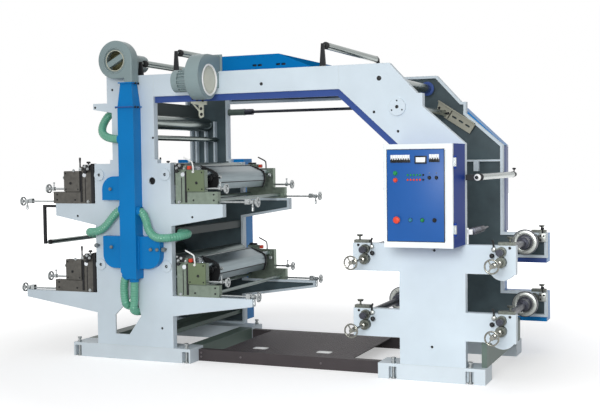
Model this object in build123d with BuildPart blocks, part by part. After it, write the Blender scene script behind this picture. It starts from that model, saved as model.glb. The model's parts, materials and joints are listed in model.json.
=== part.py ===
from build123d import *
import math
import os

os.makedirs("parts", exist_ok=True)

# Driving dimensions, millimetres. X runs along the machine, printing tower at -X, winding stand at +X.
# Y runs across it, operator side at -Y, drive side at +Y. Z is up from the floor.
tower_to_stand = 2500
frames_width = 1368
frame_thickness = 60
web_thickness = 14
rim_width = 22
near_reach = 350
far_reach = 170
deck_wheel_reach = 1118
stand_arm_reach = 603
frame_top = 2313
beam_depth = 175
foot_height = 115
foot_depth = 220
overrun = 30
touch_gap = 5
running_gap = 0.05
bolt_hole_radius = 10

half_length = (tower_to_stand + deck_wheel_reach + stand_arm_reach) / 2
half_width = (frames_width + near_reach + far_reach) / 2
tower_x = deck_wheel_reach - half_length
stand_x = half_length - stand_arm_reach
near_face = near_reach - half_width
far_face = half_width - far_reach
near_inner = near_face + frame_thickness
far_inner = far_face - frame_thickness
near_web = near_face + web_thickness
far_web = far_face - web_thickness
web_span = far_web - near_web
middle_y = (near_face + far_face) / 2
beam_bottom = frame_top - beam_depth
near_mid = near_face + frame_thickness / 2
far_mid = far_face - frame_thickness / 2

# Printing tower outline.
column_half = 358
neck_left = 180
neck_right = 215
head_left = 223
tab_reach = 358
tab_top = 2098
tab_bottom = 2049
tab_root = 2019
shoulder_rise = 327
shoulder_step = 31
shoulder_lip = 25
lower_deck = 540
upper_deck = 1278
lower_arm_reach = 1065
lower_arm_tip = 60
lower_arm_root = 165
upper_arm_left = 750
upper_arm_right = 820
upper_arm_tip = 102
upper_arm_root = 178
tower_foot_left = 600
tower_foot_right = 508
shoulder_height = upper_deck + shoulder_rise

# Winding stand outline.
stand_half = 245
stand_arm_depth = 206
stand_upper_arm = 1000
stand_lower_arm = 515
slant_start = 700
head_right = 312
notch_inner = 102
notch_outer = 62
notch_top = 2086
notch_bottom = 1990
slant_foot = 1720
stand_foot_left = 415
stand_foot_right = 385


def upright(y):
    return Plane(origin=(0, y, 0), x_dir=(1, 0, 0), z_dir=(0, -1, 0))


def endways(x):
    return Plane(origin=(x, 0, 0), x_dir=(0, 1, 0), z_dir=(1, 0, 0))


def inset(points, rim):
    moved = []
    count = len(points)
    for index in range(count):
        before = points[index - 1]
        here = points[index]
        after = points[(index + 1) % count]
        first = math.atan2(here[1] - before[1], here[0] - before[0])
        second = math.atan2(after[1] - here[1], after[0] - here[0])
        bend = (second - first) / 2
        heading = first + bend + math.pi / 2
        reach = rim / math.cos(bend)
        moved.append((here[0] + reach * math.cos(heading), here[1] + reach * math.sin(heading)))
    return moved


def shifted(points, centre):
    return [(centre + along, height) for along, height in points]


tower_outline = [
    (-column_half, foot_height),
    (column_half, foot_height),
    (column_half, lower_deck - lower_arm_root),
    (lower_arm_reach, lower_deck - lower_arm_tip),
    (lower_arm_reach, lower_deck),
    (column_half, lower_deck),
    (column_half, upper_deck - upper_arm_root),
    (upper_arm_right, upper_deck - upper_arm_tip),
    (upper_arm_right, upper_deck),
    (column_half, upper_deck),
    (column_half, shoulder_height),
    (neck_right + shoulder_lip, shoulder_height),
    (neck_right + shoulder_lip, shoulder_height + shoulder_step),
    (neck_right, shoulder_height + shoulder_step),
    (neck_right, frame_top),
    (-head_left, frame_top),
    (-head_left, tab_top),
    (-tab_reach, tab_top),
    (-tab_reach, tab_bottom),
    (-neck_left, tab_root),
    (-neck_left, shoulder_height + shoulder_step),
    (-neck_left - shoulder_lip, shoulder_height + shoulder_step),
    (-neck_left - shoulder_lip, shoulder_height),
    (-column_half, shoulder_height),
    (-column_half, upper_deck),
    (-upper_arm_left, upper_deck),
    (-upper_arm_left, upper_deck - upper_arm_tip),
    (-column_half, upper_deck - upper_arm_root),
    (-column_half, lower_deck),
    (-lower_arm_reach, lower_deck),
    (-lower_arm_reach, lower_deck - lower_arm_tip),
    (-column_half, lower_deck - lower_arm_root),
]
stand_outline = [
    (-stand_half, foot_height),
    (stand_half, foot_height),
    (stand_half, stand_lower_arm - stand_arm_depth),
    (stand_arm_reach, stand_lower_arm - stand_arm_depth),
    (stand_arm_reach, stand_lower_arm),
    (stand_half, stand_lower_arm),
    (stand_half, stand_upper_arm - stand_arm_depth),
    (stand_arm_reach, stand_upper_arm - stand_arm_depth),
    (stand_arm_reach, stand_upper_arm),
    (stand_half, stand_upper_arm),
    (stand_half, slant_foot),
    (-notch_outer, notch_bottom),
    (-notch_outer, notch_top),
    (-notch_inner, notch_top),
    (-head_right, frame_top),
    (-slant_start, frame_top),
    (-slant_start, beam_bottom),
    (-stand_half, slant_foot),
    (-stand_half, stand_upper_arm),
    (-stand_arm_reach, stand_upper_arm),
    (-stand_arm_reach, stand_upper_arm - stand_arm_depth),
    (-stand_half, stand_upper_arm - stand_arm_depth),
    (-stand_half, stand_lower_arm),
    (-stand_arm_reach, stand_lower_arm),
    (-stand_arm_reach, stand_lower_arm - stand_arm_depth),
    (-stand_half, stand_lower_arm - stand_arm_depth),
]
beam_outline = [
    (tower_x + neck_right, beam_bottom),
    (stand_x - slant_start, beam_bottom),
    (stand_x - slant_start, frame_top),
    (tower_x + neck_right, frame_top),
]
tower_points = shifted(tower_outline, tower_x)
stand_points = shifted(stand_outline, stand_x)

# Printing decks: the arms carry them, two to the left and two to the right of the tower.
drum_out = 310
drum_radius = 90
drum_height = 236
drum_end_gap = 64
journal_radius = 18
plate_radius = 60
plate_out = drum_out + drum_radius + touch_gap + plate_radius
ink_out = 600
deck_side_gap = 5
deck_side_thickness = frame_thickness - 2 * deck_side_gap
deck_levels = {"lower": lower_deck, "upper": upper_deck}
deck_hands = {"left": -1, "right": 1}

# Winding shafts and their hand wheels on the stand arms.
winding_inset = 100
winding_out = stand_arm_reach - winding_inset
winding_drop = 45
winding_radius = 25
wheel_drop = 72
spindle_radius = 9
winding_levels = {"lower": stand_lower_arm - winding_drop, "upper": stand_upper_arm - winding_drop}

# Cast side frames: flat outer face, rim and thin web, recess turned to the web path.
# The right-hand arms of the near stand end in rounded tongues that hang below them.
arm_hole_drop = 104
boss_radius = 46
boss_height = 12
boss_hole_radius = 13
cap_radius = 64
tongue_radius = 95
tongue_drop = 43
rib_width = 16
stand_rib_rise = 594
rib_lug_out = 22
rib_lug_width = 44
rib_lug_height = 88
window_drops = [(-183, 333), (-52, 333), (62, 176), (23, 40), (-45, 40), (-183, 176)]
head_holes = [(-171, 108), (-340, 247), (202, 504)]
foot_hole = (256, 158)
port_out = 187
port_rise = 185
port_radius = 30
arm_hole_places = (549, -534)
stand_hole_drops = [(-429, 353), (-247, 498), (-3, 2059), (18, 1358)]
neck_ribs = (-118, -23, 72)
neck_rib_drop = 330
stand_rollers = [(-388, 109, 36), (-251, 321, 30)]
hose_window = [(along, lower_deck - drop) for along, drop in window_drops]
tower_holes = [(along, frame_top - drop) for along, drop in head_holes]
tower_holes += [(along, upper_deck - arm_hole_drop) for along in arm_hole_places]
tower_holes.append((foot_hole[0], foot_height + foot_hole[1]))
stand_holes = [(along, frame_top - drop) for along, drop in stand_hole_drops]
drum_places = []
for level in deck_levels.values():
    for hand in deck_hands.values():
        drum_places.append((tower_x + hand * drum_out, level + drum_height))
tongue_places = []
for arm_top in (stand_lower_arm, stand_upper_arm):
    tongue_z = arm_top - stand_arm_depth - tongue_drop + tongue_radius
    tongue_places.append((stand_x + stand_arm_reach - tongue_radius, tongue_z))
cap_place = (stand_x + stand_rollers[1][0], frame_top - stand_rollers[1][1])
pocket_depth = frame_thickness - web_thickness
tower_pocket = inset(tower_points, rim_width)
stand_pocket = inset(stand_points, rim_width)
beam_pocket = inset(beam_outline, rim_width)

for side, outer in (("near", near_face), ("far", far_face)):
    inward = 1 if side == "near" else -1
    with BuildPart() as tower_frame:
        with BuildSketch(upright(outer)):
            with BuildLine():
                Polyline(*tower_points, close=True)
            make_face()
        extrude(amount=-inward * frame_thickness)
        with BuildSketch(upright(outer + inward * web_thickness)):
            with BuildLine():
                Polyline(*tower_pocket, close=True)
            make_face()
        extrude(amount=-inward * frame_thickness, mode=Mode.SUBTRACT)
        if side == "near":
            with BuildSketch(upright(outer - overrun)):
                with BuildLine():
                    Polyline(*shifted(hose_window, tower_x), close=True)
                make_face()
                with Locations(*shifted(tower_holes, tower_x)):
                    Circle(bolt_hole_radius)
                with Locations((tower_x + port_out, upper_deck + port_rise)):
                    Circle(port_radius)
            extrude(amount=-(frame_thickness + 2 * overrun), mode=Mode.SUBTRACT)
            with BuildSketch(upright(outer)):
                with Locations(*drum_places):
                    Circle(boss_radius)
                    Circle(boss_hole_radius, mode=Mode.SUBTRACT)
            extrude(amount=boss_height)
        else:
            with BuildSketch(upright(far_web)):
                for along in neck_ribs:
                    with Locations((tower_x + along, (shoulder_height + frame_top - neck_rib_drop) / 2)):
                        Rectangle(rib_width, frame_top - neck_rib_drop - shoulder_height)
            extrude(amount=pocket_depth)
    tower_frame.part.label = side + "_tower_frame"
    export_step(tower_frame.part, "parts/" + side + "_tower_frame.step")

    with BuildPart() as bridge_beam:
        with BuildSketch(upright(outer)):
            with BuildLine():
                Polyline(*beam_outline, close=True)
            make_face()
        extrude(amount=-inward * frame_thickness)
        with BuildSketch(upright(outer + inward * web_thickness)):
            with BuildLine():
                Polyline(*beam_pocket, close=True)
            make_face()
        extrude(amount=-inward * frame_thickness, mode=Mode.SUBTRACT)
    bridge_beam.part.label = side + "_bridge_beam"
    export_step(bridge_beam.part, "parts/" + side + "_bridge_beam.step")

    with BuildPart() as stand_frame:
        with BuildSketch(upright(outer)):
            with BuildLine():
                Polyline(*stand_points, close=True)
            make_face()
        extrude(amount=-inward * frame_thickness)
        with BuildSketch(upright(outer + inward * web_thickness)):
            with BuildLine():
                Polyline(*stand_pocket, close=True)
            make_face()
        extrude(amount=-inward * frame_thickness, mode=Mode.SUBTRACT)
        with BuildSketch(upright(outer + inward * web_thickness)):
            with Locations((stand_x, stand_upper_arm + stand_rib_rise)):
                Rectangle(2 * (stand_half - rim_width), rib_width)
            with Locations((stand_x + rib_lug_out, stand_upper_arm + stand_rib_rise - rib_lug_height / 2)):
                Rectangle(rib_lug_width, rib_lug_height)
        extrude(amount=-inward * pocket_depth)
        if side == "near":
            with BuildSketch(upright(outer)):
                with Locations(*tongue_places):
                    Circle(tongue_radius)
            extrude(amount=-frame_thickness)
            with BuildSketch(upright(outer)):
                with Locations(cap_place):
                    Circle(cap_radius)
                    Circle(boss_hole_radius, mode=Mode.SUBTRACT)
            extrude(amount=boss_height)
        with BuildSketch(upright(outer - inward * overrun)):
            for height in winding_levels.values():
                for hand in deck_hands.values():
                    with Locations((stand_x + hand * winding_out, height)):
                        Circle(winding_radius + touch_gap)
            if side == "near":
                with Locations(*shifted(stand_holes, stand_x)):
                    Circle(bolt_hole_radius)
        extrude(amount=-inward * (frame_thickness + 2 * overrun), mode=Mode.SUBTRACT)
    stand_frame.part.label = side + "_stand_frame"
    export_step(stand_frame.part, "parts/" + side + "_stand_frame.step")

# Box-section feet under both frames, tied across by end beams, with levelling screws.
tie_width = 120
notch_width = 60
notch_depth = 46
lug_height = 24
tower_screw_inset = 44
stand_screw_inset = 113
screw_radius = 12
screw_head_radius = 19
screw_head_height = 14
screw_stand = 30
pad_radius = 20
pad_height = 10
tower_foot_mid = tower_x + (tower_foot_right - tower_foot_left) / 2
tower_foot_length = tower_foot_left + tower_foot_right
tower_screws = (tower_x - tower_foot_left + tower_screw_inset, tower_x + tower_foot_right - tower_screw_inset)
stand_screws = (stand_x - stand_foot_left + stand_screw_inset, stand_x + stand_foot_right - stand_screw_inset)
screw_rows = (near_face + notch_depth / 2, far_face - notch_depth / 2)
notch_rows = (near_face + (notch_depth - overrun) / 2, far_face - (notch_depth - overrun) / 2)
tower_screw_places = [(place_x, place_y) for place_x in tower_screws for place_y in screw_rows]
stand_screw_places = [(place_x, place_y) for place_x in stand_screws for place_y in screw_rows]
tower_notches = [(place_x, place_y) for place_x in tower_screws for place_y in notch_rows]
stand_notches = [(place_x, place_y) for place_x in stand_screws for place_y in notch_rows]

with BuildPart() as tower_feet:
    with BuildSketch():
        for foot_y in (near_face + foot_depth / 2, far_face - foot_depth / 2):
            with Locations((tower_foot_mid, foot_y)):
                Rectangle(tower_foot_length, foot_depth)
    extrude(amount=foot_height)
    with BuildSketch():
        with Locations(*tower_notches):
            Rectangle(notch_width, notch_depth + overrun)
    extrude(amount=foot_height - lug_height, mode=Mode.SUBTRACT)
    with BuildSketch():
        with Locations(*tower_screw_places):
            Circle(screw_radius + running_gap)
    extrude(amount=foot_height, mode=Mode.SUBTRACT)
tower_feet.part.label = "tower_feet"
export_step(tower_feet.part, "parts/tower_feet.step")

with BuildPart() as tower_ties:
    with BuildSketch():
        for tie_x in (tower_x - tower_foot_left + tie_width / 2, tower_x + tower_foot_right - tie_width / 2):
            with Locations((tie_x, middle_y)):
                Rectangle(tie_width, frames_width - 2 * foot_depth)
    extrude(amount=foot_height)
tower_ties.part.label = "tower_ties"
export_step(tower_ties.part, "parts/tower_ties.step")

stand_foot_mid = stand_x + (stand_foot_right - stand_foot_left) / 2
stand_foot_length = stand_foot_left + stand_foot_right
tie_panel_height = 185
tie_panel_thickness = 40

with BuildPart() as stand_feet:
    with BuildSketch():
        for foot_y in (near_face + foot_depth / 2, far_face - foot_depth / 2):
            with Locations((stand_foot_mid, foot_y)):
                Rectangle(stand_foot_length, foot_depth)
    extrude(amount=foot_height)
    with BuildSketch():
        with Locations(*stand_notches):
            Rectangle(notch_width, notch_depth + overrun)
    extrude(amount=foot_height - lug_height, mode=Mode.SUBTRACT)
    with BuildSketch():
        with Locations(*stand_screw_places):
            Circle(screw_radius + running_gap)
    extrude(amount=foot_height, mode=Mode.SUBTRACT)
stand_feet.part.label = "stand_feet"
export_step(stand_feet.part, "parts/stand_feet.step")

with BuildPart() as stand_tie:
    with BuildSketch(Plane.XY.offset(foot_height)):
        with Locations((stand_x + stand_foot_right - tie_panel_thickness / 2, middle_y)):
            Rectangle(tie_panel_thickness, far_inner - near_inner)
    extrude(amount=tie_panel_height)
stand_tie.part.label = "stand_tie"
export_step(stand_tie.part, "parts/stand_tie.step")

# Walkway between the feet: two channel rails and a plate with two lifting slots.
rail_height = 95
rail_thickness = 60
rail_inset = 144
walkway_plate_thickness = 8
walkway_start_gap = 194
walkway_end_gap = 267
slot_length = 90
slot_width = 26
slot_back = 170
slot_start_gap = 269
slot_end_gap = 293
rail_start = tower_x + tower_foot_right
rail_end = stand_x - stand_foot_left
walkway_start = rail_start + walkway_start_gap
walkway_end = rail_end - walkway_end_gap
slot_places = (walkway_start + slot_start_gap, walkway_end - slot_end_gap)
near_rail = near_face + rail_inset + rail_thickness / 2
far_rail = far_face - rail_inset - rail_thickness / 2

with BuildPart() as walkway_rails:
    with BuildSketch():
        for rail_y in (near_rail, far_rail):
            with Locations(((rail_start + rail_end) / 2, rail_y)):
                Rectangle(rail_end - rail_start, rail_thickness)
    extrude(amount=rail_height)
walkway_rails.part.label = "walkway_rails"
export_step(walkway_rails.part, "parts/walkway_rails.step")

with BuildPart() as walkway_plate:
    with BuildSketch(Plane.XY.offset(rail_height - walkway_plate_thickness)):
        with Locations(((walkway_start + walkway_end) / 2, (near_rail + far_rail) / 2)):
            Rectangle(walkway_end - walkway_start, far_rail - near_rail - rail_thickness)
        for slot_x in slot_places:
            with Locations((slot_x, near_rail + slot_back)):
                SlotOverall(slot_length, slot_width, mode=Mode.SUBTRACT)
    extrude(amount=walkway_plate_thickness)
walkway_plate.part.label = "walkway_plate"
export_step(walkway_plate.part, "parts/walkway_plate.step")

# Drive-side covers over the gear trains, closed sheet housings against the far frames.
cover_margin = 12
cover_head = 30
cover_drop = 57
tower_cover_points = [
    (tower_x - column_half + cover_margin, foot_height + cover_head),
    (tower_x + column_half - cover_margin, foot_height + cover_head),
    (tower_x + column_half - cover_margin, shoulder_height + cover_head),
    (tower_x - column_half + cover_margin, shoulder_height + cover_head),
]
stand_cover_outline = [
    (-stand_half, foot_height + cover_head),
    (stand_half, foot_height + cover_head),
    (stand_half, stand_lower_arm - stand_arm_depth - cover_drop),
    (stand_arm_reach, stand_lower_arm - stand_arm_depth - cover_drop),
    (stand_arm_reach, stand_lower_arm),
    (stand_half, stand_lower_arm),
    (stand_half, stand_upper_arm - stand_arm_depth - cover_drop),
    (stand_arm_reach, stand_upper_arm - stand_arm_depth - cover_drop),
    (stand_arm_reach, stand_upper_arm),
    (stand_half, stand_upper_arm),
    (stand_half, slant_foot),
    (-notch_outer, notch_bottom),
    (-stand_half, notch_bottom),
]
stand_cover_points = inset(shifted(stand_cover_outline, stand_x), cover_margin)

for name, points in (("tower_gear_cover", tower_cover_points), ("stand_gear_cover", stand_cover_points)):
    with BuildPart() as gear_cover:
        with BuildSketch(upright(far_face)):
            with BuildLine():
                Polyline(*points, close=True)
            make_face()
        extrude(amount=-far_reach)
    gear_cover.part.label = name
    export_step(gear_cover.part, "parts/" + name + ".step")

# Impression drums inside the tower, one behind each deck, carried by the webs of both frames.
with BuildPart() as impression_drums:
    with BuildSketch(upright(near_web)):
        with Locations(*drum_places):
            Circle(journal_radius)
    extrude(amount=-web_span)
    with BuildSketch(upright(near_web + drum_end_gap)):
        with Locations(*drum_places):
            Circle(drum_radius)
    extrude(amount=-(web_span - 2 * drum_end_gap))
impression_drums.part.label = "impression_drums"
export_step(impression_drums.part, "parts/impression_drums.step")

# Printing decks: two stepped side plates with tie bars, ink trough with rounded cover, plate cylinder,
# and the adjusting screws with their hand wheels.
deck_base_in = 400
deck_base_out = 775
deck_base_height = 97
deck_main_out = 662
deck_main_height = 270
deck_back_out = 500
deck_back_height = 306
deck_groove = 7
tie_radius = 15
tie_places = [(430, 40), (720, 29)]
trough_length = 890
trough_rod = 20
plate_length = 900
trough_top_in = 512
trough_top_height = 300
trough_nose = 660
trough_nose_height = 238
trough_nose_radius = 58
trough_lip_height = 165
trough_floor_height = 110
trough_floor_out = 640
trough_floor_in = 560
trough_back_in = 547
trough_back_height = 250
wheel_rim_radius = 34
wheel_rim_wire = 5
wheel_hub_radius = 11
wheel_hub_length = 20
wheel_spoke_radius = 4
long_screw_height = 16
long_screw_radius = 8
long_wheel_out = deck_wheel_reach - wheel_hub_length / 2
long_block_back = 68
long_block_out = long_wheel_out - long_block_back
long_block_length = 36
long_block_half = 18
long_block_height = 40
short_screw_height = 122
short_wheel_out = 839

for level_name, level in deck_levels.items():
    for hand_name, hand in deck_hands.items():
        deck_name = "deck_" + level_name + "_" + hand_name
        side_points = [
            (deck_base_in, 0),
            (deck_base_out, 0),
            (deck_base_out, deck_base_height),
            (deck_main_out, deck_base_height),
            (deck_main_out, deck_main_height),
            (deck_back_out, deck_main_height),
            (deck_back_out, deck_back_height),
            (deck_base_in, deck_back_height),
        ]
        side_points = [(tower_x + hand * out, level + height) for out, height in side_points]
        plate_centre = (tower_x + hand * plate_out, level + drum_height)
        ink_centre = (tower_x + hand * ink_out, level + drum_height)
        with BuildPart() as carriage:
            for side_y in (near_inner - deck_side_gap, far_face - deck_side_gap):
                with BuildSketch(upright(side_y)):
                    with BuildLine():
                        Polyline(*side_points, close=True)
                    make_face()
                    with Locations(plate_centre):
                        Circle(journal_radius + running_gap, mode=Mode.SUBTRACT)
                extrude(amount=deck_side_thickness)
            with BuildSketch(upright(near_face + deck_side_gap)):
                upright_z = level + (deck_base_height + deck_main_height) / 2
                with Locations((tower_x + hand * deck_back_out, upright_z)):
                    Rectangle(deck_groove, deck_main_height - deck_base_height)
                level_x = tower_x + hand * (deck_back_out + deck_main_out) / 2
                with Locations((level_x, level + deck_base_height)):
                    Rectangle(deck_main_out - deck_back_out, deck_groove)
            extrude(amount=-deck_groove, mode=Mode.SUBTRACT)
        carriage.part.label = deck_name + "_carriage"
        export_step(carriage.part, "parts/" + deck_name + "_carriage.step")

        with BuildPart() as plate_cylinder:
            with BuildSketch(upright(near_face + deck_side_gap)):
                with Locations(plate_centre):
                    Circle(journal_radius)
            extrude(amount=-(frames_width - 2 * deck_side_gap))
            with BuildSketch(upright(middle_y - plate_length / 2)):
                with Locations(plate_centre):
                    Circle(plate_radius)
            extrude(amount=-plate_length)
        plate_cylinder.part.label = deck_name + "_plate_cylinder"
        export_step(plate_cylinder.part, "parts/" + deck_name + "_plate_cylinder.step")

        trough_points = [
            (trough_top_in, trough_top_height),
            (trough_nose, trough_nose_height),
            (trough_nose, trough_lip_height),
            (trough_floor_out, trough_floor_height),
            (trough_floor_in, trough_floor_height),
            (trough_back_in, trough_back_height),
        ]
        trough_points = [(tower_x + hand * out, level + height) for out, height in trough_points]
        with BuildPart() as ink_trough:
            with BuildSketch(upright(middle_y - trough_length / 2)) as trough_section:
                with BuildLine():
                    Polyline(*trough_points, close=True)
                make_face()
                nose = trough_section.vertices().group_by(Axis.X)[-1 if hand > 0 else 0].sort_by(Axis.Y)[-1]
                fillet(nose, trough_nose_radius)
            extrude(amount=-trough_length)
            with BuildSketch(upright(near_inner - deck_side_gap)):
                with Locations(ink_centre):
                    Circle(trough_rod)
            extrude(amount=-(far_inner - near_inner + 2 * deck_side_gap))
        ink_trough.part.label = deck_name + "_ink_trough"
        export_step(ink_trough.part, "parts/" + deck_name + "_ink_trough.step")

        with BuildPart() as deck_screws:
            for screw_y in (near_mid, far_mid):
                for start, wheel, height in (
                    (deck_base_out, long_wheel_out, long_screw_height),
                    (deck_main_out, short_wheel_out, short_screw_height),
                ):
                    with BuildSketch(endways(tower_x + hand * start)):
                        with Locations((screw_y, level + height)):
                            Circle(long_screw_radius)
                    extrude(amount=hand * (wheel - start))
                    with BuildSketch(endways(tower_x + hand * (wheel - wheel_hub_length / 2))):
                        with Locations((screw_y, level + height)):
                            Circle(wheel_hub_radius)
                    extrude(amount=hand * wheel_hub_length)
                    with BuildSketch(endways(tower_x + hand * (wheel - wheel_rim_wire))):
                        with Locations((screw_y, level + height)):
                            Circle(wheel_rim_radius + wheel_rim_wire)
                            Circle(wheel_rim_radius - wheel_rim_wire, mode=Mode.SUBTRACT)
                            with PolarLocations(wheel_rim_radius / 2, 3):
                                Rectangle(wheel_rim_radius, 2 * wheel_spoke_radius)
                    extrude(amount=hand * 2 * wheel_rim_wire)
                with BuildSketch(endways(tower_x + hand * long_block_out)):
                    with Locations((screw_y, level + long_block_height / 2)):
                        Rectangle(2 * long_block_half, long_block_height)
                extrude(amount=-hand * long_block_length)
        deck_screws.part.label = deck_name + "_screws"
        export_step(deck_screws.part, "parts/" + deck_name + "_screws.step")

with BuildPart() as deck_ties:
    with BuildSketch(upright(near_inner - deck_side_gap)):
        for level in deck_levels.values():
            for hand in deck_hands.values():
                for out, height in tie_places:
                    with Locations((tower_x + hand * out, level + height)):
                        Circle(tie_radius)
    extrude(amount=-(far_inner - near_inner + 2 * deck_side_gap))
deck_ties.part.label = "deck_ties"
export_step(deck_ties.part, "parts/deck_ties.step")

# Winding brackets, shafts with core discs, and axial adjusting hand wheels on the stand arms.
spindle_boss_radius = 38
spindle_boss_length = 50
bearing_radius = 36
bearing_length = 30
clamp_length = 116
clamp_height = 22
clamp_inset = 10
knob_inset = 46
knob_stem_radius = 7
knob_stem_height = 24
knob_radius = 19
knob_height = 14
knob_taper = 20
chuck_radius = 100
chuck_thickness = 24
chuck_hub_radius = 48
chuck_hub_length = 90
chuck_back = 186
chuck_y = middle_y + chuck_back
shaft_end = 60
spindle_front = 336
big_rim_radius = 47
big_rim_wire = 6
big_hub_radius = 15
big_hub_length = 24
big_spoke_width = 9

with BuildPart() as winding_brackets:
    for height in winding_levels.values():
        for hand in deck_hands.values():
            shaft_x = stand_x + hand * winding_out
            clamp_x = stand_x + hand * (stand_arm_reach - clamp_inset - clamp_length / 2)
            knob_x = stand_x + hand * (stand_arm_reach - knob_inset)
            arm_top = height + winding_drop
            with BuildSketch(upright(near_face)):
                with Locations((shaft_x, height - wheel_drop)):
                    Circle(spindle_boss_radius)
                    Circle(spindle_radius + running_gap, mode=Mode.SUBTRACT)
            extrude(amount=spindle_boss_length)
            with BuildSketch(upright(near_face)):
                with Locations((shaft_x, height)):
                    Circle(bearing_radius)
                with Locations((shaft_x, height - wheel_drop)):
                    Circle(spindle_boss_radius, mode=Mode.SUBTRACT)
                with Locations((shaft_x, height)):
                    Circle(winding_radius + running_gap, mode=Mode.SUBTRACT)
            extrude(amount=bearing_length)
            with BuildSketch(upright(far_inner)):
                with Locations((shaft_x, height)):
                    Circle(bearing_radius)
                    Circle(winding_radius + running_gap, mode=Mode.SUBTRACT)
            extrude(amount=bearing_length)
            for clamp_y in (near_mid, far_mid):
                with BuildSketch(Plane.XY.offset(arm_top)):
                    with Locations((clamp_x, clamp_y)):
                        Rectangle(clamp_length, frame_thickness)
                extrude(amount=clamp_height)
                with BuildSketch(Plane.XY.offset(arm_top + clamp_height)):
                    with Locations((knob_x, clamp_y)):
                        Circle(knob_stem_radius)
                extrude(amount=knob_stem_height)
                with BuildSketch(Plane.XY.offset(arm_top + clamp_height + knob_stem_height)):
                    with Locations((knob_x, clamp_y)):
                        Circle(knob_radius)
                extrude(amount=knob_height, taper=-knob_taper)
winding_brackets.part.label = "winding_brackets"
export_step(winding_brackets.part, "parts/winding_brackets.step")

for level_name, height in winding_levels.items():
    for hand_name, hand in deck_hands.items():
        shaft_x = stand_x + hand * winding_out
        with BuildPart() as winding_shaft:
            with BuildSketch(upright(near_face - bearing_length - shaft_end)):
                with Locations((shaft_x, height)):
                    Circle(winding_radius)
            extrude(amount=-(far_inner - near_face + bearing_length + shaft_end))
            with BuildSketch(upright(chuck_y)):
                with Locations((shaft_x, height)):
                    Circle(chuck_radius)
            extrude(amount=-chuck_thickness)
            with BuildSketch(upright(chuck_y)):
                with Locations((shaft_x, height)):
                    Circle(chuck_hub_radius)
            extrude(amount=chuck_hub_length)
        winding_shaft.part.label = "winding_shaft_" + level_name + "_" + hand_name
        export_step(winding_shaft.part, "parts/winding_shaft_" + level_name + "_" + hand_name + ".step")

        with BuildPart() as hand_wheel:
            with BuildSketch(upright(near_face)):
                with Locations((shaft_x, height - wheel_drop)):
                    Circle(spindle_radius)
            extrude(amount=spindle_front)
            with BuildSketch(upright(near_face - spindle_front)):
                with Locations((shaft_x, height - wheel_drop)):
                    Circle(big_hub_radius)
            extrude(amount=-big_hub_length)
            with BuildSketch(upright(near_face - spindle_front + big_rim_wire)):
                with Locations((shaft_x, height - wheel_drop)):
                    with PolarLocations(big_rim_radius / 2, 3):
                        Rectangle(big_rim_radius, big_spoke_width)
            extrude(amount=-big_rim_wire)
            with BuildSketch(Plane(
                origin=(shaft_x, near_face - spindle_front + big_rim_wire, height - wheel_drop),
                x_dir=(1, 0, 0),
                z_dir=(0, 0, 1),
            )):
                with Locations((big_rim_radius, 0)):
                    Circle(big_rim_wire)
            revolve(axis=Axis((shaft_x, 0, height - wheel_drop), (0, 1, 0)))
        hand_wheel.part.label = "hand_wheel_" + level_name + "_" + hand_name
        export_step(hand_wheel.part, "parts/hand_wheel_" + level_name + "_" + hand_name + ".step")

# Control cabinet on the operator side of the stand, with a front door hung on its right-hand edge.
cabinet_bottom = 1001
cabinet_top = 1716
door_thickness = 24
panel_border = 46
panel_recess = 8
hinge_radius = 5
hinge_wall = 4
hinge_length = 60
hinge_lug = 14
hinge_offset = 11
hinge_inset = 127
hinge_heights = (cabinet_bottom + hinge_inset, cabinet_top - hinge_inset)
door_front = near_face - near_reach
door_back = door_front + door_thickness
body_front = door_back + touch_gap
hinge_x = stand_x + stand_half + hinge_offset
cabinet_wall = 3

with BuildPart() as cabinet_body:
    with BuildSketch(upright(near_face)):
        with Locations((stand_x, (cabinet_bottom + cabinet_top) / 2)):
            Rectangle(2 * stand_half, cabinet_top - cabinet_bottom)
    extrude(amount=near_face - body_front)
    with BuildSketch(upright(near_face - cabinet_wall)):
        with Locations((stand_x, (cabinet_bottom + cabinet_top) / 2)):
            Rectangle(2 * (stand_half - cabinet_wall), cabinet_top - cabinet_bottom - 2 * cabinet_wall)
    extrude(amount=near_face - body_front, mode=Mode.SUBTRACT)
    for hinge_height in hinge_heights:
        for end in (-1, 1):
            lug_start = hinge_height + end * (hinge_length / 2 + running_gap)
            with BuildSketch(Plane.XY.offset(lug_start)):
                with Locations((hinge_x, door_back)):
                    Circle(hinge_radius + hinge_wall)
                lug_x = hinge_x + (hinge_radius + hinge_wall - hinge_offset) / 2
                with Locations((lug_x, body_front + hinge_lug / 2)):
                    Rectangle(hinge_offset + hinge_radius + hinge_wall, hinge_lug)
            extrude(amount=end * hinge_lug)
        with BuildSketch(Plane.XY.offset(hinge_height - hinge_length / 2 - hinge_lug / 2)):
            with Locations((hinge_x, door_back)):
                Circle(hinge_radius)
        extrude(amount=hinge_length + hinge_lug)
cabinet_body.part.label = "cabinet_body"
export_step(cabinet_body.part, "parts/cabinet_body.step")

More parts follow.
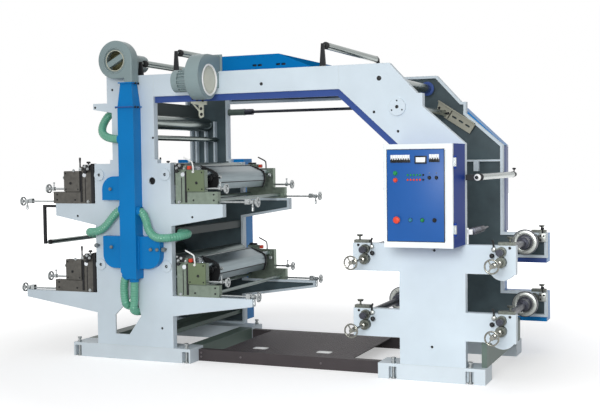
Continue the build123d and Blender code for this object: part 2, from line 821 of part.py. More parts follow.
with BuildPart() as cabinet_door:
    with BuildSketch(upright(door_back)):
        with Locations((stand_x, (cabinet_bottom + cabinet_top) / 2)):
            Rectangle(2 * stand_half, cabinet_top - cabinet_bottom)
    extrude(amount=door_thickness)
    with BuildSketch(upright(door_front)):
        with Locations((stand_x, (cabinet_bottom + cabinet_top) / 2)):
            Rectangle(2 * (stand_half - panel_border), cabinet_top - cabinet_bottom - 2 * panel_border)
    extrude(amount=-panel_recess, mode=Mode.SUBTRACT)
    for hinge_height in hinge_heights:
        with BuildSketch(Plane.XY.offset(hinge_height - hinge_length / 2)):
            with Locations((hinge_x, door_back)):
                Circle(hinge_radius + hinge_wall)
            with Locations((hinge_x - hinge_offset / 2, door_back - hinge_wall)):
                Rectangle(hinge_offset, 2 * hinge_wall)
            with Locations((hinge_x, door_back)):
                Circle(hinge_radius + running_gap, mode=Mode.SUBTRACT)
        extrude(amount=hinge_length)
cabinet_door.part.label = "cabinet_door"
export_step(cabinet_door.part, "parts/cabinet_door.step")

# Hot-air duct down the front of the tower, with branch boxes and flanges.
duct_shift = 20
duct_x = tower_x + duct_shift
duct_width = 146
duct_depth = 113
duct_neck_width = 104
duct_neck_depth = 82
duct_top_drop = 67
neck_length = 191
duct_rise = 136
duct_top = frame_top - duct_top_drop
duct_waist = duct_top - neck_length
duct_bottom = lower_deck + duct_rise
duct_cut = 54
flange_lip = 14
flange_thickness = 8
branch_half = 265
branch_depth = 66
branch_radius = 110
branch_rise = 218
branch_height = 260
upper_branch_rise = 32
upper_branch_height = 193
branch_bottom = lower_deck + branch_rise
branch_top = branch_bottom + branch_height
upper_branch_bottom = upper_deck + upper_branch_rise
upper_branch_top = upper_branch_bottom + upper_branch_height

with BuildPart() as air_duct:
    with BuildSketch(upright(near_face)) as duct_face:
        with BuildLine():
            Polyline(
                (duct_x - duct_width / 2, duct_bottom + duct_cut),
                (duct_x - duct_width / 2 + duct_cut, duct_bottom),
                (duct_x + duct_width / 2, duct_bottom),
                (duct_x + duct_width / 2, duct_waist),
                (duct_x - duct_width / 2, duct_waist),
                close=True,
            )
        make_face()
    extrude(amount=duct_depth)
    with BuildSketch(Plane.XY.offset(duct_waist)):
        with Locations((duct_x, near_face - duct_depth / 2)):
            Rectangle(duct_width, duct_depth)
    with BuildSketch(Plane.XY.offset(duct_top)):
        with Locations((duct_x, near_face - duct_depth / 2)):
            Rectangle(duct_neck_width, duct_neck_depth)
    loft()
    with BuildSketch(Plane.XY.offset(duct_waist)):
        with Locations((duct_x, near_face - duct_depth / 2 - flange_lip / 2)):
            Rectangle(duct_width + 2 * flange_lip, duct_depth + flange_lip)
    extrude(amount=flange_thickness)
    with BuildSketch(Plane.XY.offset(duct_top)):
        with Locations((duct_x, near_face - duct_depth / 2)):
            Rectangle(duct_neck_width + 2 * flange_lip, duct_neck_depth + 2 * flange_lip)
    extrude(amount=flange_thickness)
air_duct.part.label = "air_duct"
export_step(air_duct.part, "parts/air_duct.step")

with BuildPart() as duct_branches:
    for hand, low, high, rounded in (
        (-1, branch_bottom, branch_top, 0),
        (1, branch_bottom, branch_top, 0),
        (-1, upper_branch_bottom, upper_branch_top, 1),
    ):
        inner_x = duct_x + hand * duct_width / 2
        outer_x = duct_x + hand * branch_half
        corner = high if rounded else low
        away = -1 if rounded else 1
        with BuildSketch(upright(near_face)):
            with BuildLine():
                Line((inner_x, low + high - corner), (outer_x, low + high - corner))
                Line((outer_x, low + high - corner), (outer_x, corner + away * branch_radius))
                RadiusArc(
                    (outer_x, corner + away * branch_radius),
                    (outer_x - hand * branch_radius, corner),
                    hand * away * branch_radius,
                )
                Line((outer_x - hand * branch_radius, corner), (inner_x, corner))
                Line((inner_x, corner), (inner_x, low + high - corner))
            make_face()
        extrude(amount=branch_depth)
        with BuildSketch(upright(near_face)):
            with Locations((inner_x + hand * flange_thickness / 2, (low + high) / 2)):
                Rectangle(flange_thickness, high - low + flange_lip)
        extrude(amount=branch_depth + flange_lip)
duct_branches.part.label = "duct_branches"
export_step(duct_branches.part, "parts/duct_branches.step")

# Blower over the duct: scroll housing about Y, inlet to the operator, discharge down into the duct.
# Each scroll is a volute: quarter arcs that shrink by one growth each, then the straight outlet.
first_shift = 74
first_rise = 175
scroll_radius = 160
scroll_growth = 5
scroll_depth = 96
scroll_round = 14
scroll_reach = 111
inlet_radius = 100
inlet_depth = 10
inlet_bar = 44
inlet_tilt = 28
inlet_mouth_radius = 80
inlet_mouth_depth = 50
first_throat = 72
first_motor_radius = 72
first_motor_length = 320
motor_seat_width = 70
duct_mouth = duct_top + flange_thickness
first_x = tower_x - first_shift
first_z = duct_mouth + first_rise
scroll_front = near_face - scroll_reach


def volute(centre, radius, growth, throat, mouth, turn):
    across = (math.cos(math.radians(turn)), math.sin(math.radians(turn)))

    def place(along, up):
        first = centre[0] + along * across[0] - up * across[1]
        second = centre[1] + along * across[1] + up * across[0]
        return (first, second)

    CenterArc(place(0, 0), radius, turn, 90)
    CenterArc(place(0, growth), radius - growth, turn + 90, 90)
    CenterArc(place(-growth, growth), radius - 2 * growth, turn + 180, 90)
    Polyline(
        place(-growth, 3 * growth - radius),
        place(radius - throat, 3 * growth - radius),
        place(radius - throat, -mouth),
        place(radius, -mouth),
        place(radius, 0),
    )


with BuildPart() as duct_blower:
    with BuildSketch(upright(scroll_front)):
        with BuildLine():
            volute((first_x, first_z), scroll_radius, scroll_growth, first_throat, first_rise, 0)
        make_face()
    extrude(amount=-scroll_depth)
    fillet(duct_blower.edges().filter_by(GeomType.CIRCLE).group_by(Axis.Y)[0], scroll_round)
    with BuildSketch(upright(scroll_front)):
        with Locations((first_x, first_z)):
            Circle(inlet_radius)
    extrude(amount=-inlet_depth, mode=Mode.SUBTRACT)
    with BuildSketch(upright(scroll_front + inlet_depth)):
        with Locations((first_x, first_z)):
            Circle(inlet_mouth_radius)
            Rectangle(2 * inlet_radius, inlet_bar, rotation=inlet_tilt, mode=Mode.SUBTRACT)
    extrude(amount=-inlet_mouth_depth, mode=Mode.SUBTRACT)
    with BuildSketch(upright(scroll_front + scroll_depth)):
        with Locations((first_x, first_z)):
            Circle(first_motor_radius)
    extrude(amount=-first_motor_length)
    with BuildSketch(Plane.XY.offset(frame_top)):
        with Locations((first_x, near_mid)):
            Rectangle(motor_seat_width, frame_thickness)
    extrude(amount=first_z - frame_top)
duct_blower.part.label = "duct_blower"
export_step(duct_blower.part, "parts/duct_blower.step")

# Drying hood on top of the bridge, and the blower that feeds it from the operator side.
hood_from_tower = 682
hood_length = 898
hood_slope_run = 278
hood_height = 115
hood_start = tower_x + hood_from_tower
hood_end = hood_start + hood_length
hood_slope = hood_end - hood_slope_run
hood_front = near_inner - frame_thickness / 2
hood_back = far_inner + frame_thickness / 2
second_from_tower = 750
second_radius = 178
second_growth = 12
second_x = tower_x + second_from_tower
second_y = near_face - near_reach + second_radius
second_depth = 114
second_outlet = 118
second_inlet = 118
eye_shift = 12
eye_drop = 17
second_motor_radius = 86
second_motor_length = 180
motor_core_radius = 70
motor_fin_length = 130
motor_fin_thickness = 7
motor_fin_count = 16
second_z = frame_top + second_outlet - second_radius
eye_place = (second_y + eye_shift, second_z - eye_drop)
hood_slot_starts = (416, 460, 614, 658)
hood_slot_rise = 34
hood_slot_length = 38
hood_slot_width = 16
hood_slot_depth = 20
hood_points = [
    (hood_start, frame_top),
    (hood_end, frame_top),
    (hood_slope, frame_top + hood_height),
    (hood_start, frame_top + hood_height),
]

with BuildPart() as drying_hood:
    with BuildSketch(upright(hood_front)):
        with BuildLine():
            Polyline(*hood_points, close=True)
        make_face()
    extrude(amount=-(hood_back - hood_front))
    with BuildSketch(upright(hood_front)):
        for slot_start in hood_slot_starts:
            with Locations((hood_start + slot_start, frame_top + hood_slot_rise)):
                SlotOverall(hood_slot_length, hood_slot_width)
    extrude(amount=-hood_slot_depth, mode=Mode.SUBTRACT)
drying_hood.part.label = "drying_hood"
export_step(drying_hood.part, "parts/drying_hood.step")

with BuildPart() as hood_blower:
    with BuildSketch(endways(second_x - second_depth / 2)):
        with BuildLine():
            second_reach = hood_front - second_y
            volute((second_y, second_z), second_radius, second_growth, second_outlet, second_reach, 90)
        make_face()
        with Locations(((second_y + near_face) / 2, second_z - second_growth)):
            Rectangle(near_face - second_y, second_outlet)
    extrude(amount=second_depth)
    with BuildSketch(upright(hood_front)):
        with Locations((second_x, frame_top + (second_outlet + flange_lip) / 2)):
            Rectangle(second_depth + 2 * flange_lip, second_outlet + flange_lip)
    extrude(amount=flange_thickness)
    with BuildSketch(endways(second_x + second_depth / 2)):
        with Locations(eye_place):
            Circle(second_inlet)
    extrude(amount=-inlet_depth, mode=Mode.SUBTRACT)
    with BuildSketch(endways(second_x - second_depth / 2)):
        with Locations(eye_place):
            Circle(motor_core_radius)
            with PolarLocations(motor_core_radius, motor_fin_count):
                Rectangle(2 * (second_motor_radius - motor_core_radius), motor_fin_thickness)
    extrude(amount=-motor_fin_length)
    with BuildSketch(endways(second_x - second_depth / 2 - motor_fin_length)):
        with Locations(eye_place):
            Circle(second_motor_radius)
    extrude(amount=motor_fin_length - second_motor_length)
hood_blower.part.label = "hood_blower"
export_step(hood_blower.part, "parts/hood_blower.step")

# Guide rollers outside the frames: three over the bridge on tapered posts, one at the outfeed on short
# arms, one at the lead-in on cranked arms.
top_roller_radius = 27
top_pin_radius = 9
post_bottom_half = 24
post_top_half = 11
post_thickness = 16
top_roller_rises = [(85, 99), (412, 169), (1662, 161)]
top_rollers = [(along, frame_top + rise) for along, rise in top_roller_rises]
outfeed_gap = 87
outfeed_out = stand_half + outfeed_gap
outfeed_rise = 478
outfeed_z = stand_upper_arm + outfeed_rise
outfeed_radius = 24
outfeed_arm_half = 20
outfeed_arm_thickness = 30
lead_gap = 137
lead_drop = 24
lead_fall = 310
lead_radius = 20
lead_bar = 22
lead_out = upper_arm_left + lead_gap
lead_top = upper_deck - lead_drop
lead_z = lead_top - lead_fall
roller_end_gap = 60
outer_rollers = []
for along, height in top_rollers:
    outer_rollers.append((tower_x + along, height, top_roller_radius, post_thickness / 2))
outer_rollers.append((stand_x + outfeed_out, outfeed_z, outfeed_radius, outfeed_arm_thickness / 2))
outer_rollers.append((tower_x - lead_out, lead_z, lead_radius, lead_bar / 2))

with BuildPart() as roller_arms:
    for arm_y in (near_mid, far_mid):
        for along, height in top_rollers:
            roller_x = tower_x + along
            with BuildSketch(upright(arm_y)):
                with BuildLine():
                    Polyline(
                        (roller_x - post_bottom_half, frame_top),
                        (roller_x + post_bottom_half, frame_top),
                        (roller_x + post_top_half, height + post_top_half),
                        (roller_x - post_top_half, height + post_top_half),
                        close=True,
                    )
                make_face()
            extrude(amount=post_thickness / 2, both=True)
        with BuildSketch(upright(arm_y)):
            with Locations((stand_x + (stand_half + outfeed_out) / 2, outfeed_z)):
                Rectangle(outfeed_out - stand_half, 2 * outfeed_arm_half)
            with Locations((stand_x + outfeed_out, outfeed_z)):
                Circle(outfeed_arm_half)
        extrude(amount=outfeed_arm_thickness / 2, both=True)
        with BuildSketch(upright(arm_y)):
            with Locations((tower_x - (upper_arm_left + lead_out) / 2, lead_top)):
                Rectangle(lead_out - upper_arm_left, lead_bar)
            with Locations((tower_x - lead_out, (lead_top + lead_z) / 2)):
                Rectangle(lead_bar, lead_top - lead_z + lead_bar)
        extrude(amount=lead_bar / 2, both=True)
roller_arms.part.label = "roller_arms"
export_step(roller_arms.part, "parts/roller_arms.step")

with BuildPart() as outer_guide_rollers:
    for roller_x, height, radius, arm_half in outer_rollers:
        with BuildSketch(upright(near_mid + arm_half)):
            with Locations((roller_x, height)):
                Circle(top_pin_radius)
        extrude(amount=-(far_mid - near_mid - 2 * arm_half))
        with BuildSketch(upright(near_mid + roller_end_gap)):
            with Locations((roller_x, height)):
                Circle(radius)
        extrude(amount=-(far_mid - near_mid - 2 * roller_end_gap))
outer_guide_rollers.part.label = "outer_guide_rollers"
export_step(outer_guide_rollers.part, "parts/outer_guide_rollers.step")

# Guide rollers between the frames, from web to web.
tower_rollers = [(0, 363, 60), (95, 498, 22)]
inner_rollers = [(tower_x + along, frame_top - drop, radius) for along, drop, radius in tower_rollers]
inner_rollers += [(stand_x + along, frame_top - drop, radius) for along, drop, radius in stand_rollers]

with BuildPart() as inner_guide_rollers:
    for roller_x, height, radius in inner_rollers:
        with BuildSketch(upright(near_web)):
            with Locations((roller_x, height)):
                Circle(top_pin_radius)
        extrude(amount=-web_span)
        with BuildSketch(upright(near_web + roller_end_gap)):
            with Locations((roller_x, height)):
                Circle(radius)
        extrude(amount=-(web_span - 2 * roller_end_gap))
inner_guide_rollers.part.label = "inner_guide_rollers"
export_step(inner_guide_rollers.part, "parts/inner_guide_rollers.step")

# Drive shaft under the far beam from tower to stand.
drive_drop = 76
drive_z = beam_bottom - drive_drop
drive_radius = 13
coupling_radius = 27
coupling_length = 245
hanger_half = 22
hanger_inset = 60
hanger_x = stand_x - slant_start - hanger_inset

with BuildPart() as drive_shaft:
    with BuildSketch(endways(tower_x + neck_right)):
        with Locations((far_mid, drive_z)):
            Circle(coupling_radius)
    extrude(amount=coupling_length)
    with BuildSketch(endways(tower_x + neck_right)):
        with Locations((far_mid, drive_z)):
            Circle(drive_radius)
    extrude(amount=hanger_x - tower_x - neck_right)
    with BuildSketch(Plane.XY.offset(drive_z - hanger_half)):
        with Locations((hanger_x, far_mid)):
            Rectangle(2 * hanger_half, frame_thickness)
    extrude(amount=beam_bottom - drive_z + hanger_half)
drive_shaft.part.label = "drive_shaft"
export_step(drive_shaft.part, "parts/drive_shaft.step")

# Inter-colour dryer boxes between the frames, fed by the hoses, and the drip tray under the decks.
dryer_half = 32
head_dryer_out = 110
head_dryer_drop = 240
head_dryer_height = 110
deck_dryer_out = 300
left_dryer_rise = 101
right_dryer_rise = 131
hose_end_gap = 54
low_dryer_shift = 14
low_dryer_drop = 126
deck_middle = (lower_deck + upper_deck) / 2
dryers = [
    (-head_dryer_out, frame_top - head_dryer_drop),
    (-deck_dryer_out, deck_middle + left_dryer_rise),
    (deck_dryer_out, deck_middle + right_dryer_rise),
]
hose_end_y = near_inner + hose_end_gap
low_dryer_x = tower_x - low_dryer_shift
low_dryer_z = lower_deck - low_dryer_drop
low_dryer_width = 136
low_dryer_height = 124
tray_start = 80
tray_end = 320
tray_rise = 100
tray_height = foot_height + tray_rise
tray_lip = 34
tray_wall = 5

with BuildPart() as colour_dryers:
    with BuildSketch(upright(near_web)):
        with Locations((tower_x + dryers[0][0], dryers[0][1])):
            Rectangle(2 * dryer_half, head_dryer_height)
        for along, height in dryers[1:]:
            with Locations((tower_x + along, height)):
                Rectangle(2 * dryer_half, 2 * dryer_half)
    extrude(amount=-web_span)
    with BuildSketch(upright(hose_end_y)):
        with Locations((low_dryer_x, low_dryer_z)):
            Rectangle(low_dryer_width, low_dryer_height)
    extrude(amount=-(far_web - hose_end_y))
colour_dryers.part.label = "colour_dryers"
export_step(colour_dryers.part, "parts/colour_dryers.step")

with BuildPart() as drip_tray:
    with BuildSketch(upright(near_web)):
        with BuildLine():
            Polyline(
                (tower_x + tray_start, tray_height + tray_lip),
                (tower_x + tray_start, tray_height),
                (tower_x + tray_end, tray_height),
                (tower_x + tray_end, tray_height + tray_lip),
            )
            offset(amount=tray_wall, side=Side.LEFT)
        make_face()
    extrude(amount=-web_span)
drip_tray.part.label = "drip_tray"
export_step(drip_tray.part, "parts/drip_tray.step")

# Flexible air hoses from the duct round the frame edges and through the window to the dryer boxes.
hose_radius = 32
hose_y = near_face - duct_depth / 2
hose_turn_gap = 10
hose_side_gap = 22
neck_hose_rise = 167
neck_hose_bow = 105
hose_lead = 48
left_hose_drop = 42
left_hose_run = 205
left_hose_sag = 186
left_hose_level = 46
right_hose_drop = 56
right_hose_run = 132
right_hose_sag = 210
right_hose_front = 50
right_hose_out = 90
cut_step = 34
cut_fall = 149
cut_shift = 24
cut_drop = 104
last_hose_fall = 176
last_hose_shift = 25
last_hose_drop = 148
slow_bend = 120
wide_bend = 90
turn_bend = 70
end_bend = 60
hose_turn_y = hose_end_y + hose_turn_gap
duct_left = duct_x - duct_width / 2
duct_right = duct_x + duct_width / 2
neck_clear = tower_x - neck_left - neck_hose_bow
column_clear_left = tower_x - column_half - hose_radius - hose_side_gap
column_clear_right = tower_x + column_half + hose_radius + hose_side_gap
cut_mid_x = duct_left + duct_cut / 2
cut_mid_z = duct_bottom + duct_cut / 2
neck_hose_z = shoulder_height + shoulder_step + neck_hose_rise
neck_end_z = dryers[0][1] - head_dryer_height / 2 + hose_radius
left_hose_z = upper_deck - left_hose_drop
left_turn_z = left_hose_z - left_hose_sag
right_hose_z = upper_deck - right_hose_drop
right_low_z = right_hose_z - right_hose_sag
right_turn_x = column_clear_right + right_hose_out
right_end_z = dryers[2][1] + dryer_half - hose_radius
cut_end_x = cut_mid_x - cut_step
cut_turn_x = cut_end_x + cut_shift
cut_turn_z = lower_deck - cut_drop
last_start_x = duct_right - duct_cut
last_turn_x = last_start_x - last_hose_shift
last_turn_z = lower_deck - last_hose_drop
dryer_ends = []
for along, height in dryers:
    outward = dryer_half if along > 0 else -dryer_half
    dryer_ends.append((tower_x + along + outward, hose_turn_y))
neck_route = [
    (duct_left, hose_y, neck_hose_z),
    (neck_clear, hose_y, neck_hose_z),
    (neck_clear, hose_turn_y, neck_end_z),
    (*dryer_ends[0], neck_end_z),
]
left_route = [
    (duct_left, hose_y, left_hose_z),
    (duct_left - hose_lead, hose_y, left_hose_z),
    (duct_left - left_hose_run, hose_y, left_turn_z),
    (column_clear_left, hose_y, left_turn_z),
    (column_clear_left, hose_turn_y, dryers[1][1]),
    (*dryer_ends[1], dryers[1][1]),
]
right_route = [
    (duct_right, hose_y, right_hose_z),
    (duct_right + hose_lead, hose_y, right_hose_z),
    (duct_right + right_hose_run, hose_y - right_hose_front, right_low_z),
    (column_clear_right, hose_y - right_hose_front, right_low_z),
    (right_turn_x, hose_turn_y, right_end_z),
    (*dryer_ends[2], right_end_z),
]
cut_route = [
    (cut_mid_x, hose_y, cut_mid_z),
    (cut_end_x, hose_y, cut_mid_z - cut_step),
    (cut_end_x, hose_y, cut_mid_z - cut_step - cut_fall),
    (cut_turn_x, hose_y, cut_turn_z),
    (cut_turn_x, hose_end_y, cut_turn_z),
]
last_route = [
    (last_start_x, hose_y, duct_bottom),
    (last_start_x, hose_y, duct_bottom - last_hose_fall),
    (last_turn_x, hose_y, last_turn_z),
    (last_turn_x, hose_end_y, last_turn_z),
]
hose_runs = [
    (neck_route, [wide_bend, wide_bend]),
    (left_route, [end_bend, slow_bend, turn_bend, end_bend]),
    (right_route, [end_bend, slow_bend, wide_bend, end_bend]),
    (cut_route, [end_bend, slow_bend, end_bend]),
    (last_route, [slow_bend, wide_bend]),
]

with BuildPart() as air_hoses:
    for places, bends in hose_runs:
        with BuildLine() as route:
            FilletPolyline(*places, radius=bends)
        with BuildSketch(route.line ^ 0):
            Circle(hose_radius)
        sweep(path=route.line)
air_hoses.part.label = "air_hoses"
export_step(air_hoses.part, "parts/air_hoses.step")

# Blue guard strip that hangs under the near beam and along the inner slant of the stand.
guard_depth = 50
guard_thickness = 12
slant_run = slant_start - stand_half
slant_fall = beam_bottom - slant_foot
guard_drop = guard_depth * math.hypot(slant_run, slant_fall) / slant_run
guard_back = (guard_drop - guard_depth) * slant_run / slant_fall

with BuildPart() as web_guard:
    with BuildSketch(upright(near_mid)):
        with BuildLine():
            Polyline(
                (tower_x + neck_right, beam_bottom),
                (tower_x + neck_right, beam_bottom - guard_depth),
                (stand_x - slant_start - guard_back, beam_bottom - guard_depth),
                (stand_x - stand_half, slant_foot - guard_drop),
                (stand_x - stand_half, slant_foot),
                (stand_x - slant_start, beam_bottom),
                close=True,
            )
        make_face()
    extrude(amount=guard_thickness / 2, both=True)
web_guard.part.label = "web_guard"
export_step(web_guard.part, "parts/web_guard.step")

# Slotted bar for the web edge guide, on two posts from the far stand web.
guide_back = 102
guide_drop = 392
guide_length = 232
guide_width = 92
guide_tilt = -33
guide_thickness = 12
guide_slot_length = 44
guide_slot_width = 15
guide_slot_pitch = 66
guide_post_radius = 15
guide_post_pitch = 132
guide_post_side = 28

with BuildPart() as web_guide_bar:
    with BuildSketch(upright(far_inner)):
        with Locations(Location((stand_x - guide_back, frame_top - guide_drop, 0), guide_tilt)):
            Rectangle(guide_length, guide_width)
            with GridLocations(guide_slot_pitch, 0, 3, 1):
                SlotOverall(guide_slot_length, guide_slot_width, mode=Mode.SUBTRACT)
    extrude(amount=guide_thickness)
    with BuildSketch(upright(far_web)):
        with Locations(Location((stand_x - guide_back, frame_top - guide_drop, 0), guide_tilt)):
            guide_posts = [
                (-guide_post_pitch / 2, guide_post_side),
                (guide_post_pitch / 2, -guide_post_side),
            ]
            with Locations(guide_posts):
                Circle(guide_post_radius)
    extrude(amount=pocket_depth)
web_guide_bar.part.label = "web_guide_bar"
export_step(web_guide_bar.part, "parts/web_guide_bar.step")

# Levelling screws in the notches of the feet: floor pad, threaded stem, lock nut on the lug, head.
with BuildPart() as levelling_screws:
    for place in tower_screw_places + stand_screw_places:
        with BuildSketch():
            with Locations(place):
                Circle(pad_radius)
        extrude(amount=pad_height)
        with BuildSketch():
            with Locations(place):
                Circle(screw_radius)
        extrude(amount=foot_height + screw_stand)
        with BuildSketch(Plane.XY.offset(foot_height)):
            with Locations(place):
                RegularPolygon(screw_head_radius, 6)
        extrude(amount=screw_head_height)
        with BuildSketch(Plane.XY.offset(foot_height + screw_stand)):
            with Locations(place):
                RegularPolygon(screw_head_radius, 6)
        extrude(amount=screw_head_height)
levelling_screws.part.label = "levelling_screws"
export_step(levelling_screws.part, "parts/levelling_screws.step")
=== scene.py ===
import json
import math

import bmesh
import bpy
from mathutils import Matrix, Vector


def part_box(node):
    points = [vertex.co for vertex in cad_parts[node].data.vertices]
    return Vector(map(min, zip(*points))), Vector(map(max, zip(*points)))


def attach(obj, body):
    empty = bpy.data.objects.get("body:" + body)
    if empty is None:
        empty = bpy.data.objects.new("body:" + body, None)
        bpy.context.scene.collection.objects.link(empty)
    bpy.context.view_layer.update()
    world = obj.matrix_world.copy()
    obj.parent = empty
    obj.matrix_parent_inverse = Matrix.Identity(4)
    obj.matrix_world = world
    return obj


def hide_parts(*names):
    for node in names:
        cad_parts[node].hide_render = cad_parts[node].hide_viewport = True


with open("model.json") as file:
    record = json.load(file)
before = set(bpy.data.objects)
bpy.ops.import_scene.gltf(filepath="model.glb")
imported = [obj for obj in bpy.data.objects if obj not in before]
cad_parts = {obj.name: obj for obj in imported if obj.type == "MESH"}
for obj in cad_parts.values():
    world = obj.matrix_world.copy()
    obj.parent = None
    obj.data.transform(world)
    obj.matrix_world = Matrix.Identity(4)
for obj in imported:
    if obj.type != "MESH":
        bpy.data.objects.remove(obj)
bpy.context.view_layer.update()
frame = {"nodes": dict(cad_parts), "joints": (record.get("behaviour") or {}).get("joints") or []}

# Camera. A long lens a little above head height, off the operator side and turned towards the tower, so that
# the near side frames are seen almost square on and the stand end a little from the right.
photo_width = 600
sensor_width = 36.0
focal_pixels = 1023.69
camera_place = Vector((3.4818, -7.7272, 1.6082))
camera_yaw = math.radians(22.8023)
camera_pitch = math.radians(-2.7085)
camera_roll = math.radians(0.7031)
camera = bpy.data.objects.new("camera", bpy.data.cameras.new("camera"))
camera.data.sensor_fit = "HORIZONTAL"
camera.data.sensor_width = sensor_width
camera.data.lens = sensor_width * focal_pixels / photo_width
camera.matrix_world = (
    Matrix.Translation(camera_place)
    @ Matrix.Rotation(camera_yaw, 4, "Z")
    @ Matrix.Rotation(math.pi / 2 + camera_pitch, 4, "X")
    @ Matrix.Rotation(-camera_roll, 4, "Z")
)
bpy.context.scene.collection.objects.link(camera)
bpy.context.scene.camera = camera

# Air hoses. Five lengths of 64 mm spiral-wound PVC duct, pushed on spigots of the hot-air duct and led
# through the frame to the dryer boxes. The wire helix stands out as a rib, drawn twice as coarse as the real
# 10 mm pitch.
hose_radius = 0.032
hose_sides = 20
rib_pitch = 0.020
rib_height = 0.0018
hose_routes = {
    "neck_hose": (0.56, [(-1.0455, -0.6505, 1.803), (-1.2775, -0.6505, 1.803), (-1.2775, -0.47, 2.05),
                         (-1.1345, -0.47, 2.05)]),
    "left_hose": (0.63, [(-1.0455, -0.6505, 1.236), (-1.0935, -0.6505, 1.236), (-1.2505, -0.6505, 1.05),
                         (-1.4045, -0.6505, 1.05), (-1.4045, -0.47, 1.01), (-1.3245, -0.47, 1.01)]),
    "right_hose": (0.74, [(-0.8995, -0.6505, 1.222), (-0.8515, -0.6505, 1.222), (-0.7675, -0.7005, 1.012),
                          (-0.5805, -0.7005, 1.012), (-0.4905, -0.47, 1.04), (-0.6605, -0.47, 1.04)]),
    "cut_corner_hose": (0.42, [(-1.0185, -0.6505, 0.703), (-1.0525, -0.6505, 0.669), (-1.0525, -0.6505, 0.52),
                               (-1.0285, -0.6505, 0.436), (-1.0285, -0.48, 0.436)]),
    "last_hose": (0.42, [(-0.9535, -0.6505, 0.676), (-0.9535, -0.6505, 0.5), (-0.9785, -0.6505, 0.392),
                         (-0.9785, -0.48, 0.392)]),
}


def linear(text):
    """An sRGB hex colour as linear red, green, blue and alpha."""
    channels = [int(text[place:place + 2], 16) / 255 for place in (1, 3, 5)]
    return (*[c / 12.92 if c <= 0.04045 else ((c + 0.055) / 1.055) ** 2.4 for c in channels], 1.0)


def add(tree, kind, settings=None, links=None):
    """Adds a shader node, sets its options or input values, and links its inputs to the outputs given."""
    made = tree.nodes.new("ShaderNode" + kind)
    for key, value in (settings or {}).items():
        if isinstance(key, str) and hasattr(made, key):
            setattr(made, key, value)
        else:
            made.inputs[key].default_value = value
    for key, source in (links or {}).items():
        tree.links.new(source, made.inputs[key])
    return made


def nurbs_line(points, steps):
    """Points read along the smooth NURBS line that has these control points."""
    curve = bpy.data.curves.new("guide_line", "CURVE")
    curve.dimensions = "3D"
    curve.resolution_u = steps
    spline = curve.splines.new("NURBS")
    spline.points.add(len(points) - 1)
    for held, point in zip(spline.points, points):
        held.co = (*point, 1.0)
    spline.order_u = 3
    spline.use_endpoint_u = True
    guide = bpy.data.objects.new("guide_line", curve)
    line = bpy.data.meshes.new_from_object(guide)
    places = [vertex.co.copy() for vertex in line.vertices]
    bpy.data.objects.remove(guide)
    bpy.data.meshes.remove(line)
    return places


def skin(mesh, rings, closed=False):
    """Faces between neighbouring rings of vertices, with end caps or joined end to end."""
    pairs = list(zip(rings, rings[1:])) + ([(rings[-1], rings[0])] if closed else [])
    for lower, upper in pairs:
        for index in range(len(lower)):
            after = (index + 1) % len(lower)
            mesh.faces.new((lower[index], lower[after], upper[after], upper[index]))
    if not closed:
        mesh.faces.new(rings[0][::-1])
        mesh.faces.new(rings[-1])


def tube(mesh, points, radius, sides=12, rib=0.0):
    """A round bar or hose along a line of points, with a helical rib where one is asked for."""
    across = (points[1] - points[0]).orthogonal().normalized()
    travelled = 0.0
    rings = []
    for index, point in enumerate(points):
        behind = points[max(index - 1, 0)]
        ahead = (points[min(index + 1, len(points) - 1)] - behind).normalized()
        across = (across - ahead * across.dot(ahead)).normalized()
        up = ahead.cross(across)
        travelled += (point - behind).length
        ring = []
        for step in range(sides):
            angle = math.tau * step / sides
            reach = radius + rib * math.cos(math.tau * travelled / rib_pitch - angle)
            ring.append(mesh.verts.new(point + reach * (math.cos(angle) * across + math.sin(angle) * up)))
        rings.append(ring)
    skin(mesh, rings)


def piece(name, mesh, material, body="machine", crease=35):
    """Turns a finished mesh into a named piece that rides on a body and takes the finish it is given."""
    bmesh.ops.recalc_face_normals(mesh, faces=mesh.faces)
    data = bpy.data.meshes.new(name)
    mesh.to_mesh(data)
    mesh.free()
    data.materials.append(material)
    data.polygons.foreach_set("use_smooth", [True] * len(data.polygons))
    data.set_sharp_from_angle(angle=math.radians(crease))
    made = bpy.data.objects.new(name, data)
    bpy.context.scene.collection.objects.link(made)
    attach(made, body)
    return made


# Plasticised PVC, extruded over the helix: a soft satin skin, a little darker and dustier in patches.
dust_patch = 0.06
hose_pvc = bpy.data.materials.new("green_pvc_duct")
hose_pvc.use_nodes = True
tree = hose_pvc.node_tree
hose_shader = tree.nodes["Principled BSDF"]
hose_shader.inputs["Roughness"].default_value = 0.34
hose_shader.inputs["IOR"].default_value = 1.53
hose_shader.inputs["Coat Weight"].default_value = 0.25
spot = add(tree, "TexCoord")
dust = add(tree, "TexNoise", {"Scale": 1 / dust_patch, "Detail": 4.0}, {"Vector": spot.outputs["Object"]})
tone = add(tree, "Mix", {"data_type": "RGBA", 6: linear("#468F74"), 7: linear("#6BB599")},
           {0: dust.outputs["Fac"]})
tree.links.new(tone.outputs[2], hose_shader.inputs["Base Color"])
for name, (hose_length, route) in hose_routes.items():
    path = nurbs_line(route, 80)
    hose = bmesh.new()
    tube(hose, path, hose_radius, hose_sides, rib_height)
    hose = piece(name, hose, hose_pvc, crease=80)
    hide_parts("air_hoses")
